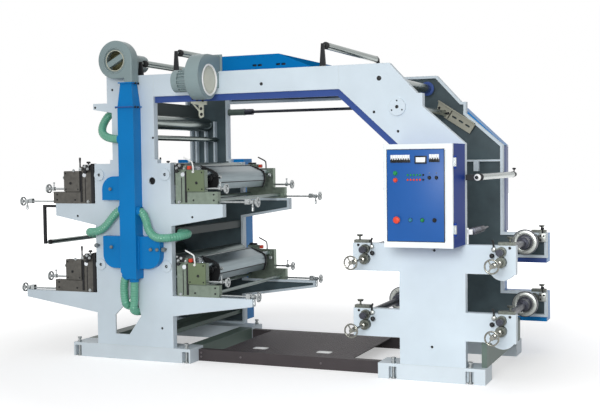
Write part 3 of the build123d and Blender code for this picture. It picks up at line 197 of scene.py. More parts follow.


# Side frames. Two ribbed iron castings, each bolted up from tower, beam and winding stand, filled and sprayed
# with a pale blue-grey machine enamel; the pockets between the ribs get a dark slate that is painted shade.
def enamel(name, colour, rubbed, roughness=0.42, peel=0.004, mottle=0.35, gloss=0.25):
    """Sprayed enamel: orange-peel ripple, slow mottling, and a paler line where edges are rubbed thin."""
    material = bpy.data.materials.new(name)
    material.use_nodes = True
    tree = material.node_tree
    shader = tree.nodes["Principled BSDF"]
    shader.inputs["Roughness"].default_value = roughness
    shader.inputs["IOR"].default_value = 1.5
    shader.inputs["Specular IOR Level"].default_value = gloss
    spot = add(tree, "TexCoord")
    cloud = add(tree, "TexNoise", {"Scale": 1 / mottle, "Detail": 5.0}, {"Vector": spot.outputs["Object"]})
    spread = add(tree, "MapRange", {"From Min": 0.3, "From Max": 0.7, "To Min": 0.93, "To Max": 1.04},
                 {"Value": cloud.outputs["Fac"]})
    shade = add(tree, "VectorMath", {"operation": "SCALE", 0: linear(colour)[:3]},
                {"Scale": spread.outputs["Result"]})
    soft = add(tree, "Bevel", {"samples": 4, "Radius": 0.004})
    flat = add(tree, "NewGeometry")
    bend = add(tree, "VectorMath", {"operation": "DOT_PRODUCT"},
               {0: soft.outputs["Normal"], 1: flat.outputs["Normal"]})
    rub = add(tree, "MapRange", {"From Min": 0.99, "From Max": 0.86, "To Max": 0.55},
              {"Value": bend.outputs["Value"]})
    paint = add(tree, "Mix", {"data_type": "RGBA", 7: linear(rubbed)},
                {0: rub.outputs["Result"], 6: shade.outputs["Vector"]})
    paint.name = "paint"
    tree.links.new(paint.outputs[2], shader.inputs["Base Color"])
    ripple = add(tree, "TexNoise", {"Scale": 1 / peel, "Detail": 1.0}, {"Vector": spot.outputs["Object"]})
    bump = add(tree, "Bump", {"Strength": 0.06, "Distance": 0.001},
               {"Height": ripple.outputs["Fac"], "Normal": soft.outputs["Normal"]})
    tree.links.new(bump.outputs["Normal"], shader.inputs["Normal"])
    return material


def dress(material, *names):
    """Gives CAD nodes their finish."""
    for name in names:
        for holder in frame["nodes"][name].material_slots:
            holder.material = material


# Half-gloss enamel over filler gives soft broad highlights. A dull, streaky dark slate is painted as shade on
# faces that look inwards and lie more than pocket_floor from the middle plane of the machine.
frame_enamel = enamel("pale_blue_grey_machine_enamel", "#D0DDE6", "#E4E8E2")
middle_y = (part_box("near_bridge_beam")[0].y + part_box("far_bridge_beam")[1].y) / 2
pocket_floor = 0.66
inward_facing = -0.3
recess_shade_streak = 0.12
tree = frame_enamel.node_tree
place = add(tree, "TexCoord")
axes = add(tree, "SeparateXYZ", {}, {0: place.outputs["Object"]})
facing = add(tree, "SeparateXYZ", {}, {0: place.outputs["Normal"]})
outward = add(tree, "Math", {"operation": "SUBTRACT", 1: middle_y}, {0: axes.outputs["Y"]})
reach = add(tree, "Math", {"operation": "ABSOLUTE"}, {0: outward.outputs[0]})
deep = add(tree, "Math", {"operation": "GREATER_THAN", 1: pocket_floor}, {0: reach.outputs[0]})
against = add(tree, "Math", {"operation": "MULTIPLY"}, {0: outward.outputs[0], 1: facing.outputs["Y"]})
inward = add(tree, "Math", {"operation": "LESS_THAN", 1: inward_facing}, {0: against.outputs[0]})
shaded_pocket = add(tree, "Math", {"operation": "MULTIPLY"}, {0: deep.outputs[0], 1: inward.outputs[0]})
# Dark streaky slate: painted shade for the recessed faces inside the frames.
streak = add(tree, "TexNoise", {"Scale": 1 / recess_shade_streak, "Detail": 4.0},
             {"Vector": place.outputs["Object"]})
recess_shade = add(tree, "Mix", {"data_type": "RGBA", 6: linear("#394449"), 7: linear("#54666C")},
             {0: streak.outputs["Fac"]})
coat = add(tree, "Mix", {"data_type": "RGBA"},
           {0: shaded_pocket.outputs[0], 6: tree.nodes["paint"].outputs[2], 7: recess_shade.outputs[2]})
tree.links.new(coat.outputs[2], tree.nodes["Principled BSDF"].inputs["Base Color"])
dress(frame_enamel, "near_tower_frame", "near_bridge_beam", "near_stand_frame", "far_tower_frame",
      "far_bridge_beam", "far_stand_frame")


def lathe(mesh, profile, place, axis, sides=24, closed=False):
    """A turned form: (radius, distance along) pairs swept round an axis that starts at a place."""
    turn = Vector((0, 0, 1)).rotation_difference(Vector(axis))
    rings = []
    for radius, along in profile:
        angles = [math.tau * step / sides for step in range(sides)]
        spokes = [Vector((radius * math.cos(angle), radius * math.sin(angle), along)) for angle in angles]
        rings.append([mesh.verts.new(Vector(place) + turn @ spoke) for spoke in spokes])
    skin(mesh, rings, closed)


def metal(name, dark, light, roughness, grain, lay=(1, 1, 1), depth=0.15):
    """Machined metal: fine tool marks along its lay, uneven brightness, and a roughness that follows them."""
    material = bpy.data.materials.new(name)
    material.use_nodes = True
    tree = material.node_tree
    shader = tree.nodes["Principled BSDF"]
    shader.inputs["Metallic"].default_value = 1.0
    spot = add(tree, "TexCoord")
    stretch = add(tree, "Mapping", {"Scale": lay}, {"Vector": spot.outputs["Object"]})
    marks = add(tree, "TexNoise", {"Scale": 1 / grain, "Detail": 5.0}, {"Vector": stretch.outputs[0]})
    tone = add(tree, "Mix", {"data_type": "RGBA", 6: linear(dark), 7: linear(light)},
               {0: marks.outputs["Fac"]})
    tree.links.new(tone.outputs[2], shader.inputs["Base Color"])
    polish = add(tree, "MapRange", {"To Min": roughness * 0.7, "To Max": roughness * 1.3},
                 {"Value": marks.outputs["Fac"]})
    tree.links.new(polish.outputs["Result"], shader.inputs["Roughness"])
    soft = add(tree, "Bevel", {"samples": 4, "Radius": 0.002})
    bump = add(tree, "Bump", {"Strength": depth, "Distance": 0.0004},
               {"Height": marks.outputs["Fac"], "Normal": soft.outputs["Normal"]})
    tree.links.new(bump.outputs["Normal"], shader.inputs["Normal"])
    return material


# Frame screws and hole shade. Socket heads of black-oxide steel, sunk a little below the face of their bores
# in the near frames, also fill the bores with painted shade. Pivot holes and roller ends are closed by dark
# turned ends that are painted shade, one of them in a cap that three small screws hold.
joint_places = {joint["child"]: Vector(joint["pos_m"]) for joint in frame["joints"]}
tower_x = (joint_places["deck_lower_left_plate_cylinder"].x
           + joint_places["deck_lower_right_plate_cylinder"].x) / 2
stand_x = (joint_places["winding_shaft_lower_left"].x + joint_places["winding_shaft_lower_right"].x) / 2
near_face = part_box("near_bridge_beam")[0].y
bore_radius = 0.0097
pivot_radius = 0.0127
pivot_proud = 0.012
tower_bores = [(-0.171, 2.205), (-0.340, 2.066), (0.202, 1.809), (0.549, 1.174), (-0.534, 1.174),
               (0.256, 0.273)]
stand_bores = [(-0.429, 1.960), (-0.247, 1.815), (-0.003, 0.254), (0.018, 0.955)]
pivots = [(tower_x + hand * 0.310, joint_places[f"deck_{level}_right_plate_cylinder"].z)
          for level in ("lower", "upper") for hand in (-1, 1)]
# Black oxide is a thin dull film: nearly black, with a faint sheen and no colour of its own. The same black
# is also put in holes, slots and gaps as painted shade.
black_oxide_and_shade = enamel("black_oxide_and_shade_finish", "#191A1C", "#303236", roughness=0.5, peel=0.003, gloss=0.3)
screws_and_hole_shade = bmesh.new()
for bores, middle in ((tower_bores, tower_x), (stand_bores, stand_x)):
    for out, height in bores:
        head = [(bore_radius, 0.030), (bore_radius, 0.005), (0.0088, 0.004), (0.0045, 0.004), (0.0045, 0.009)]
        lathe(screws_and_hole_shade, head, (middle + out, near_face, height), (0, 1, 0), 18)
# Dark turned plugs in the pivot holes of the bosses: painted shade.
for along, height in pivots:
    head = [(pivot_radius, 0.034), (pivot_radius, 0.008), (0.0110, 0.006), (0.0060, 0.006), (0.0060, 0.014)]
    lathe(screws_and_hole_shade, head, (along, near_face - pivot_proud, height), (0, 1, 0), 18)
port_radius = 0.0297
lathe(screws_and_hole_shade, [(port_radius, 0.050), (port_radius, 0.022), (0.022, 0.018), (0.012, 0.018), (0.012, 0.024)],
      (tower_x + 0.187, near_face, 1.463), (0, 1, 0), 28)
# Flat black discs in a hole of the beam and at a roller's end: painted shade.
for along, height, radius in ((0.175, 2.201, 0.013), (1.1195, 2.204, 0.018)):
    lathe(screws_and_hole_shade, [(radius, 0.002), (radius, -0.001), (radius * 0.8, -0.002)], (along, near_face, height),
          (0, 1, 0), 20)
cap_middle = Vector((1.2565, near_face - pivot_proud, 1.992))
cap_screw_reach = 0.045
lathe(screws_and_hole_shade, [(pivot_radius, 0.014), (pivot_radius, 0.003), (0.0110, 0.002)], cap_middle, (0, 1, 0), 20)
for step in range(3):
    angle = math.radians(90 + 120 * step)
    off_centre = cap_screw_reach * Vector((math.cos(angle), 0, math.sin(angle)))
    lathe(screws_and_hole_shade, [(0.006, 0.002), (0.006, -0.002), (0.004, -0.003)], cap_middle + off_centre, (0, 1, 0), 12)
piece("frame_screws_and_hole_shade", screws_and_hole_shade, black_oxide_and_shade)

# Feet, ties and levelling screws. Welded box-section feet in the same enamel, cross ties in grey-green, and
# bright zinc-plated jacking screws with their nuts and pads.
foot_enamel = enamel("pale_foot_enamel", "#D2DDE4", "#E2E7E1")
tie_enamel = enamel("grey_green_enamel", "#63736C", "#8C9A93")
dress(foot_enamel, "tower_feet", "stand_feet")
dress(tie_enamel, "tower_ties", "stand_tie", "drip_tray")
bright_zinc = metal("bright_zinc_plate", "#7C8183", "#C0C4C4", 0.3, 0.012)
dress(bright_zinc, "levelling_screws")

# Walkway. Pressed steel rails between tower and stand carry a plate with rolled chequer lozenges. Both are in
# dark floor paint, dull and brownish, which feet have worn paler on the lozenges.
floor_paint = enamel("dark_floor_paint", "#443F41", "#655E5F", roughness=0.55, peel=0.006, mottle=0.12)
worn_paint = enamel("foot_worn_floor_paint", "#6A6466", "#8A8486", roughness=0.5, mottle=0.05)
dress(floor_paint, "walkway_rails", "walkway_plate")
plate_low, plate_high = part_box("walkway_plate")
lozenge_pitch = 0.030
lozenge_half = 0.012
lozenge_width = 0.0035
lozenge_height = 0.0015
lozenge = [(lozenge_half, 0), (0, lozenge_width), (-lozenge_half, 0), (0, -lozenge_width)]
slot_clear = (0.074, 0.054)
lift_slots = [(-0.0215, -0.25), (0.5325, -0.25)]
chequer = bmesh.new()
for column in range(int((plate_high.x - plate_low.x) / lozenge_pitch)):
    for row in range(int((plate_high.y - plate_low.y) / lozenge_pitch)):
        middle = Vector((plate_low.x + (column + 0.5) * lozenge_pitch,
                         plate_low.y + (row + 0.5) * lozenge_pitch, plate_high.z))
        if any(abs(middle.x - x) < slot_clear[0] and abs(middle.y - y) < slot_clear[1]
               for x, y in lift_slots):
            continue
        turn = Matrix.Rotation(math.radians(45 if (column + row) % 2 else -45), 3, "Z")
        rings = []
        for share, height in ((1.0, 0.0), (0.7, lozenge_height)):
            corners = [middle + turn @ Vector((share * x, share * y, height)) for x, y in lozenge]
            rings.append([chequer.verts.new(corner) for corner in corners])
        skin(chequer, rings)
piece("walkway_chequer", chequer, worn_paint)


def hex_head(mesh, place, axis, radius):
    """A hexagon screw head with its washer."""
    lathe(mesh, [(radius * 1.25, 0), (radius * 1.25, radius * 0.25)], place, axis, 18)
    lathe(mesh, [(radius, radius * 0.2), (radius, radius * 0.8), (radius * 0.8, radius)], place, axis, 6)


# Walkway fixings. Painted hexagon bolts through the outer faces of the rails, and a pressed finger plate in
# white stove enamel, hard and even, let in round each lifting slot.
rail_low, rail_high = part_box("walkway_rails")
rail_bolt_radius = 0.007
rail_bolts = bmesh.new()
for along, height in ((-0.107, 0.050), (0.581, 0.047), (-0.462, 0.034), (-0.462, 0.066)):
    hex_head(rail_bolts, (along, rail_low.y, height), (0, -1, 0), rail_bolt_radius)
    hex_head(rail_bolts, (along, rail_high.y, height), (0, 1, 0), rail_bolt_radius)
piece("walkway_rail_bolts", rail_bolts, worn_paint)
finger_steps = 40
finger_shape = [(0.060, 0.040, 0.35, 0.0), (0.058, 0.038, 0.35, 0.002), (0.045, 0.013, 0.7, 0.002),
                (0.045, 0.013, 0.7, -0.006)]
finger_plates = bmesh.new()
for slot_x, slot_y in lift_slots:
    rings = []
    for half_x, half_y, power, rise in finger_shape:
        ring = []
        for step in range(finger_steps):
            angle = math.tau * step / finger_steps
            x = slot_x + half_x * math.copysign(abs(math.cos(angle)) ** power, math.cos(angle))
            y = slot_y + half_y * math.copysign(abs(math.sin(angle)) ** power, math.sin(angle))
            ring.append(finger_plates.verts.new((x, y, plate_high.z + rise)))
        rings.append(ring)
    skin(finger_plates, rings, closed=True)
white_enamel = enamel("white_stove_enamel", "#F2F3F2", "#FFFFFF", roughness=0.35)
piece("walkway_finger_plates", finger_plates, white_enamel)

# Gear covers. Folded sheet-steel boxes screwed over the drive gears on the far side, in azure enamel with a
# low gloss. The hot-air duct and its branch boxes are folded and sprayed in the same way.
cover_enamel = enamel("gloss_azure_enamel", "#0D7CC2", "#3E9AD6", roughness=0.3, gloss=0.12)
dress(cover_enamel, "tower_gear_cover", "stand_gear_cover", "air_duct", "duct_branches")


def block(mesh, low, high, soft=0.0015):
    """A bar or plate between two corners, with its edges rounded over."""
    low, high = Vector(low), Vector(high)
    made = bmesh.ops.create_cube(mesh, size=1.0)["verts"]
    for vertex in made:
        vertex.co = (low + high) / 2 + Vector([share * span for share, span in zip(vertex.co, high - low)])
    edges = list({edge for vertex in made for edge in vertex.link_edges})
    bmesh.ops.bevel(mesh, geom=edges, offset=soft, segments=2, profile=0.5, affect="EDGES")


def plate(mesh, outline, low_y, high_y):
    """A flat plate with an outline of (x, z) corners, between two depths."""
    skin(mesh, [[mesh.verts.new((x, depth, z)) for x, z in outline] for depth in (low_y, high_y)])


# Hot-air duct fittings. Folded flanges with bolts where the duct is joined, spigots that take the hoses, and
# grey damper knobs on and beside the branch boxes. The trim is a mid blue enamel, the knobs are moulded ABS.
flange_lip = 0.006
flange_half = 0.004
flange_bolt = [(0.004, 0), (0.004, 0.006), (0.008, 0.006), (0.008, 0.016), (0.006, 0.018)]
duct_low, duct_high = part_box("air_duct")
flanges = bmesh.new()
flange_bolts = bmesh.new()
duct_x = (duct_low.x + duct_high.x) / 2
for height, width, front in ((2.055, 0.146, duct_low.y), (2.246, 0.104, near_face - 0.082)):
    left, right = duct_x - width / 2 - flange_lip, duct_x + width / 2 + flange_lip
    for low_x, low_y, high_x, high_y in ((left, front - flange_lip, right, front + 0.002),
                                         (left, front, left + flange_lip + 0.002, near_face),
                                         (right - flange_lip - 0.002, front, right, near_face)):
        block(flanges, (low_x, low_y, height - flange_half), (high_x, high_y, height + flange_half), 0.001)
    for side_x, way in ((left, -1), (right, 1)):
        for back in (0.02, 0.06):
            lathe(flange_bolts, flange_bolt, (side_x, front + back, height), (way, 0, 0), 6)
spigots = bmesh.new()
sleeves = bmesh.new()
spigot_gap = 0.0022
for hose_length, route in hose_routes.values():
    first, last = Vector(route[0]), Vector(route[-1])
    inner, outer = hose_radius + spigot_gap, hose_radius + 2.4 * spigot_gap
    collar = [(inner, 0.001), (outer + 0.004, 0.001), (outer + 0.004, 0.005), (outer, 0.007), (outer, 0.026),
              (inner, 0.028)]
    lathe(spigots, collar, first, Vector(route[1]) - first, 28, closed=True)
    lathe(sleeves, collar, last, Vector(route[-2]) - last, 28, closed=True)
trim_and_shade_enamel = enamel("mid_blue_enamel", "#3D5594", "#5A6FAE", roughness=0.3, gloss=0.12)
dress(trim_and_shade_enamel, "web_guard")
piece("duct_flanges", flanges, trim_and_shade_enamel)
piece("duct_flange_bolts", flange_bolts, black_oxide_and_shade)
piece("hose_spigots", spigots, cover_enamel)
piece("dryer_hose_sleeves", sleeves, black_oxide_and_shade)
branch_seat = near_face - 0.066
knob_shape = [(0.006, 0), (0.006, 0.006), (0.012, 0.008), (0.014, 0.012), (0.013, 0.022), (0.008, 0.026)]
long_knob = [(0.008, 0), (0.008, 0.020), (0.016, 0.024), (0.018, 0.032), (0.018, 0.052), (0.012, 0.058)]
dampers = bmesh.new()
for along, height in ((-0.7825, 0.916), (-0.7235, 0.916), (-1.150, 0.930), (-1.150, 1.400)):
    lathe(dampers, knob_shape, (along, branch_seat, height), (0, -1, 0))
for along, height in ((-1.318, 0.936), (-0.686, 0.914)):
    lathe(dampers, long_knob, (along, near_face, height), (0, -1, 0))
damper_abs = enamel("moulded_grey_abs", "#767D80", "#9AA1A3", roughness=0.4)
piece("damper_knobs", dampers, damper_abs)

# Hood louvres. Pressed slots in the near face of the drying hood, with black blocks behind them as painted
# shade, and the small screws of its lid. The hood is folded sheet in azure enamel that the heat has dulled,
# so it has no highlight.
hood_enamel = enamel("satin_azure_enamel", "#0D6FB0", "#3189C4", roughness=0.5, gloss=0.0)
dress(hood_enamel, "drying_hood")
hood_low, hood_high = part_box("drying_hood")
slot_starts = (0.416, 0.460, 0.614, 0.658)
slot_rise = 0.034
slot_half = Vector((0.016, 0.004, 0.006))
slot_depth = 0.014
louvre_shade_blocks = bmesh.new()
# Black blocks behind the slots: painted shade of the hood's inside.
for start in slot_starts:
    middle = Vector((hood_low.x + start, hood_low.y + slot_depth, hood_low.z + slot_rise))
    block(louvre_shade_blocks, middle - slot_half, middle + slot_half, 0.002)
piece("hood_louvre_shade", louvre_shade_blocks, black_oxide_and_shade)
lid_flat = 0.620
lid_margin = 0.06
lid_drop = 0.015
lid_screw_count = 8
lid_screws = bmesh.new()
for step in range(lid_screw_count):
    along = hood_low.x + lid_margin + step * (lid_flat - 2 * lid_margin) / (lid_screw_count - 1)
    for face_y, way in ((hood_low.y, -1), (hood_high.y, 1)):
        lathe(lid_screws, [(0.006, 0), (0.006, 0.002), (0.004, 0.004)],
              (along, face_y, hood_high.z - lid_drop), (0, way, 0), 12)
piece("hood_lid_screws", lid_screws, hood_enamel)

# Gear cover fixings. Zinc-plated pan-head screws round the covers and rows of pressed louvres that let the
# gear case breathe. The stand's cover has a sloping lid, folded from the same sheet; mid blue plates along
# its right side and under the upper arm are painted shade.
cover_screws = bmesh.new()
louvre_ribs = bmesh.new()
screw_count = 7
louvre_count = 6
louvre_pitch = 0.03
louvre_half = 0.10
for cover, middle, half, low_z, high_z in (("tower_gear_cover", tower_x, 0.33, 0.20, 1.6),
                                           ("stand_gear_cover", stand_x, 0.21, 0.22, 1.5)):
    cover_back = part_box(cover)[1].y
    for way in (-1, 1):
        for step in range(screw_count):
            height = low_z + step * (high_z - low_z) / (screw_count - 1)
            lathe(cover_screws, [(0.009, -0.001), (0.009, 0.002), (0.006, 0.005)],
                  (middle + way * half, cover_back, height), (0, 1, 0), 16)
    for row in range(louvre_count):
        height = low_z + 0.10 + row * louvre_pitch
        tube(louvre_ribs, [Vector((middle - louvre_half, cover_back - 0.001, height)),
                           Vector((middle + louvre_half, cover_back - 0.001, height))], 0.007, 12)
lid, side_shade_plates = bmesh.new(), bmesh.new()
lid_front, lid_back = 0.776, 0.942
plate(lid, [(1.436, 1.975), (1.738, 1.713), (1.754, 1.718), (1.405, 2.048)], lid_front, lid_back)
# Mid blue plates on the cover's right side and below the upper arm: painted shade.
block(side_shade_plates, (1.738, lid_front, 1.002), (1.7525, lid_back, 1.712), 0.001)
block(side_shade_plates, (1.762, 0.7705, 0.750), (2.098, lid_front, 0.793), 0.001)
piece("stand_cover_lid", lid, cover_enamel)
piece("stand_cover_side_shade", side_shade_plates, trim_and_shade_enamel)
piece("gear_cover_screws", cover_screws, bright_zinc)
piece("gear_cover_louvres", louvre_ribs, cover_enamel)

# Printing decks. Scraped cast-iron carriages, sheet-steel ink troughs under a rounded cover, and hard-chromed
# plate cylinders between them; screws and small hand wheels are bright plated. Iron is dull and mottled, the
# sheet has fine brush lines, and the ground chrome is a soft mirror.
carriage_iron = metal("scraped_cast_iron", "#646F64", "#8C988C", 0.5, 0.03)
worn_iron = metal("worn_cast_iron", "#434240", "#6C6A65", 0.48, 0.03)
trough_sheet = metal("brushed_sheet_steel", "#6F7B80", "#98A4A8", 0.36, 0.01, lay=(1, 0.05, 1))
cylinder_chrome = metal("ground_hard_chrome", "#B4BABF", "#DADEE2", 0.2, 0.01, lay=(1, 0.1, 1), depth=0.05)
decks = [(level, side) for level in ("lower", "upper") for side in ("left", "right")]
for level, side in decks:
    deck = f"deck_{level}_{side}"
    dress(carriage_iron if side == "right" else worn_iron, deck + "_carriage")
    dress(trough_sheet, deck + "_ink_trough")
    dress(cylinder_chrome, deck + "_plate_cylinder")
    dress(bright_zinc, deck + "_screws")
drum_steel = metal("turned_drum_steel", "#5E6866", "#8B9694", 0.35, 0.01, lay=(1, 0.1, 1))
dress(drum_steel, "impression_drums", "deck_ties")

# Deck fittings. Slide plates with gibs, bearing caps, screws and clamps, bolted on both side plates of a
# deck. Right-hand decks have olive enamelled slides, red moulded guards, and levers, white on the operator
# side and black on the far side; left-hand decks have bare iron slides, a knobbed handle, and a black strip
# by the column that is painted shade of the gap behind it.
slide_enamel = enamel("olive_machine_enamel", "#6C7A5E", "#8C9876", roughness=0.45)
cap_red = enamel("moulded_red_pvc", "#D8452F", "#E36A50", roughness=0.4)
deck_face = middle_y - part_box("deck_lower_right_carriage")[0].y
slide_face = 0.012
trough_half = 0.445
cheek_thick = 0.012
trough_outline = [(0.506, 0.308), (0.612, 0.270), (0.655, 0.246), (0.668, 0.215), (0.668, 0.162),
                  (0.646, 0.102), (0.552, 0.102), (0.538, 0.250)]
cap_front = 0.014
cap_knob = [(0.006, 0), (0.006, 0.022), (0.013, 0.026), (0.015, 0.034), (0.013, 0.044), (0.007, 0.048)]
screw_depth = -0.025
lever_bends = [(0.568, 0.262, 0.008), (0.566, 0.300, 0.012), (0.562, 0.328, 0.014), (0.552, 0.338, 0.014),
               (0.520, 0.354, 0.014), (0.486, 0.370, 0.014)]


def deck_point(seat, out, up, proud):
    """A point by a deck's side plate: out from the tower, up from its carriage, proud of the plate's face."""
    hand, outward, floor_z = seat
    return Vector((tower_x + hand * out, middle_y + outward * (deck_face + proud), floor_z + up))


def deck_bar(mesh, seat, low, high, back, front, soft=0.002):
    """A bar on a deck's side plate, between two (out, up) corners and two depths."""
    corners = deck_point(seat, *low, back), deck_point(seat, *high, front)
    block(mesh, [min(pair) for pair in zip(*corners)], [max(pair) for pair in zip(*corners)], soft)


for level, side in decks:
    deck = f"deck_{level}_{side}"
    hand = 1 if side == "right" else -1
    along = Vector((hand, 0, 0))
    floor_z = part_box(deck + "_carriage")[0].z
    slides, blacks, brights, levers, guards = [bmesh.new() for count in range(5)]
    for outward in (-1, 1):
        seat = (hand, outward, floor_z)
        face = Vector((0, outward, 0))
        deck_bar(slides, seat, (0.505, 0.100), (0.660, 0.268), -0.002, slide_face, 0.003)
        deck_bar(blacks, seat, (0.486, 0.012), (0.503, 0.262), -0.002, 0.006)
        deck_bar(blacks, seat, (0.452, 0.012), (0.458, 0.210), -0.002, 0.002, 0.0005)
        hex_head(blacks, deck_point(seat, 0.595, 0.168, slide_face), face, 0.009)
        for out, up in ((0.522, 0.118), (0.643, 0.118), (0.643, 0.250)):
            hex_head(blacks, deck_point(seat, out, up, slide_face), face, 0.005)
        hex_head(brights, deck_point(seat, 0.430, 0.016, 0.0), face, 0.011)
        for out, up in ((0.560, 0.030), (0.740, 0.030), (0.740, 0.075)):
            hex_head(blacks, deck_point(seat, out, up, 0.0), face, 0.006)
        # bearing cap of the plate cylinder, with its setting screws and knob
        deck_bar(blacks, seat, (0.404, 0.276), (0.470, 0.322), -0.030, cap_front, 0.004)
        for out, up, radius in ((0.420, 0.286, 0.010), (0.446, 0.306, 0.010), (0.486, 0.284, 0.008),
                                (0.410, 0.318, 0.007)):
            hex_head(brights, deck_point(seat, out, up, cap_front), face, radius)
        lathe(blacks, cap_knob, deck_point(seat, 0.432, 0.262, 0.0), face)
        # clamps on the adjusting screws
        lathe(brights, [(0.010, 0), (0.016, 0.004), (0.016, 0.024), (0.010, 0.028)],
              deck_point(seat, 0.772, 0.122, screw_depth), along)
        lathe(brights, [(0.005, 0), (0.005, 0.030), (0.009, 0.034), (0.009, 0.040), (0.004, 0.043)],
              deck_point(seat, 0.786, 0.134, screw_depth), (0, 0, 1), 16)
        lathe(brights, [(0.010, 0), (0.017, 0.004), (0.017, 0.032), (0.010, 0.036)],
              deck_point(seat, 1.046, 0.016, screw_depth), along)
        lathe(brights, [(0.006, 0), (0.006, 0.020), (0.010, 0.026), (0.010, 0.056), (0.006, 0.060)],
              deck_point(seat, 1.066, 0.004, screw_depth), (0, 0, -1), 16)
        if side == "right":
            handles = levers if outward < 0 else blacks
            tube(handles, [deck_point(seat, *bend) for bend in lever_bends], 0.006, 14)
            lathe(handles, [(0.009, 0), (0.010, 0.004), (0.010, 0.014), (0.007, 0.018)],
                  deck_point(seat, 0.568, 0.256, 0.006), face)
            deck_bar(guards, seat, (0.508, 0.274), (0.536, 0.304), -0.030, 0.006, 0.005)
        else:
            lathe(brights, [(0.012, 0), (0.013, 0.006), (0.010, 0.030)],
                  deck_point(seat, 0.520, 0.270, screw_depth), (0, 0, 1), 20)
            lathe(blacks, [(0.007, 0.028), (0.006, 0.060), (0.008, 0.090), (0.009, 0.104), (0.005, 0.112)],
                  deck_point(seat, 0.520, 0.270, screw_depth), (0, 0, 1), 20)
            lathe(blacks, [(0.006, 0), (0.006, 0.026), (0.017, 0.030), (0.018, 0.038), (0.012, 0.044)],
                  deck_point(seat, 0.436, 0.304, screw_depth), (0, 0, 1), 20)
            lathe(brights, [(0.012, 0), (0.018, 0), (0.018, 0.008), (0.012, 0.008)],
                  deck_point(seat, 0.676, 0.214, -0.030), face, 24, closed=True)
            # Black strip by the column: painted shade of the gap between carriage and column.
            deck_bar(blacks, seat, (0.370, 0.002), (0.398, 0.330), -0.046, 0.004)
            hex_head(brights, deck_point(seat, 0.560, 0.274, slide_face), face, 0.010)
    # end cheeks, seam and doctor blade of the trough
    cheeks, seam, blade = bmesh.new(), bmesh.new(), bmesh.new()
    body_near, body_far = middle_y - trough_half, middle_y + trough_half
    outline = [(tower_x + hand * out, floor_z + up) for out, up in trough_outline]
    for cheek_y in (body_near - cheek_thick, body_far):
        plate(cheeks, outline, cheek_y, cheek_y + cheek_thick)
    for cheek_y, way in ((body_near - cheek_thick, -1), (body_far + cheek_thick, 1)):
        for out, up, radius, length in ((0.600, 0.200, 0.030, 0.060), (0.640, 0.215, 0.013, 0.040),
                                        (0.570, 0.140, 0.016, 0.050)):
            stub = [(radius, 0), (radius, length * 0.5), (radius * 0.6, length * 0.55),
                    (radius * 0.6, length)]
            lathe(cheeks, stub, (tower_x + hand * out, cheek_y, floor_z + up), (0, way, 0))
        lathe(brights, [(0.010, 0), (0.014, 0.004), (0.014, 0.020), (0.008, 0.024)],
              (tower_x + hand * 0.684, cheek_y + way * 0.02, floor_z + 0.210), along)
    seam_x = sorted(tower_x + hand * out for out in (0.654, 0.6625))
    block(seam, (seam_x[0], body_near, floor_z + 0.160), (seam_x[1], body_far, floor_z + 0.168), 0.0008)
    blade_x = sorted(tower_x + hand * out for out in (0.500, 0.522))
    block(blade, (blade_x[0], body_near, floor_z + 0.300), (blade_x[1], body_far, floor_z + 0.305), 0.0008)
    piece(deck + "_slide_plates", slides, slide_enamel if side == "right" else worn_iron)
    piece(deck + "_gibs_knobs_and_gap_shade", blacks, black_oxide_and_shade)
    piece(deck + "_setting_screws", brights, bright_zinc)
    piece(deck + "_trough_cheeks", cheeks, black_oxide_and_shade)
    piece(deck + "_trough_seam", seam, black_oxide_and_shade)
    piece(deck + "_doctor_blade", blade, bright_zinc)
    if side == "right":
        piece(deck + "_throw_off_levers", levers, white_enamel)
        piece(deck + "_red_guards", guards, cap_red)
    else:
        levers.free()
        guards.free()

# Blowers. Pressed-steel scrolls with cast motors, in hammered grey-green enamel whose 9 mm dimples catch the
# light. The duct blower's mouth has a rolled rim, a cream lip and, behind its bar, curved impeller vanes.
blower_enamel = enamel("hammered_grey_green_enamel", "#8A9C9E", "#AFBDBC", roughness=0.3, peel=0.009)
dress(blower_enamel, "duct_blower", "hood_blower")
eye_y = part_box("duct_blower")[0].y
eye = Vector((-1.0665, eye_y, 2.429))
inlet_step = 0.010
bar_tilt = math.radians(28)
bar_clear = 0.027
mouth_depth = 0.048
vane_count = 30
rims, lips, vanes = bmesh.new(), bmesh.new(), bmesh.new()
lathe(rims, [(0.094, 0.003), (0.097, -0.004), (0.102, -0.005), (0.106, 0.001), (0.100, 0.004)], eye,
      (0, 1, 0), 40, closed=True)
lathe(lips, [(0.0775, 0.002), (0.0785, -0.003), (0.083, -0.004), (0.087, 0.000), (0.082, 0.003)],
      eye + Vector((0, inlet_step, 0)), (0, 1, 0), 40, closed=True)
lathe(vanes, [(0.0785, mouth_depth + 0.001), (0.0785, mouth_depth - 0.004), (0.020, mouth_depth - 0.006)],
      eye + Vector((0, inlet_step, 0)), (0, 1, 0), 36)
for step in range(vane_count):
    angle = math.tau * step / vane_count
    outward = Vector((math.cos(angle), 0, math.sin(angle)))
    aside = Vector((-math.sin(angle), 0, math.cos(angle)))
    across_bar = abs(-outward.x * math.sin(bar_tilt) + outward.z * math.cos(bar_tilt))
    if 0.060 * across_bar < bar_clear:
        continue
    rings = []
    for depth in (0.012, mouth_depth - 0.004):
        corners = [(0.052, -0.0008), (0.077, 0.007), (0.077, 0.0086), (0.052, 0.0008)]
        rings.append([vanes.verts.new(eye + Vector((0, inlet_step + depth, 0)) + far * outward + off * aside)
                      for far, off in corners])
    skin(vanes, rings)
cream_enamel = enamel("cream_inlet_enamel", "#BFC2B2", "#D5D7CA", roughness=0.4)
vane_paint = enamel("dusty_olive_impeller_paint", "#5B5A3E", "#77765A", roughness=0.6)
piece("duct_blower_rim", rims, blower_enamel)
piece("duct_blower_mouth_lip", lips, cream_enamel)
piece("duct_blower_impeller", vanes, vane_paint)

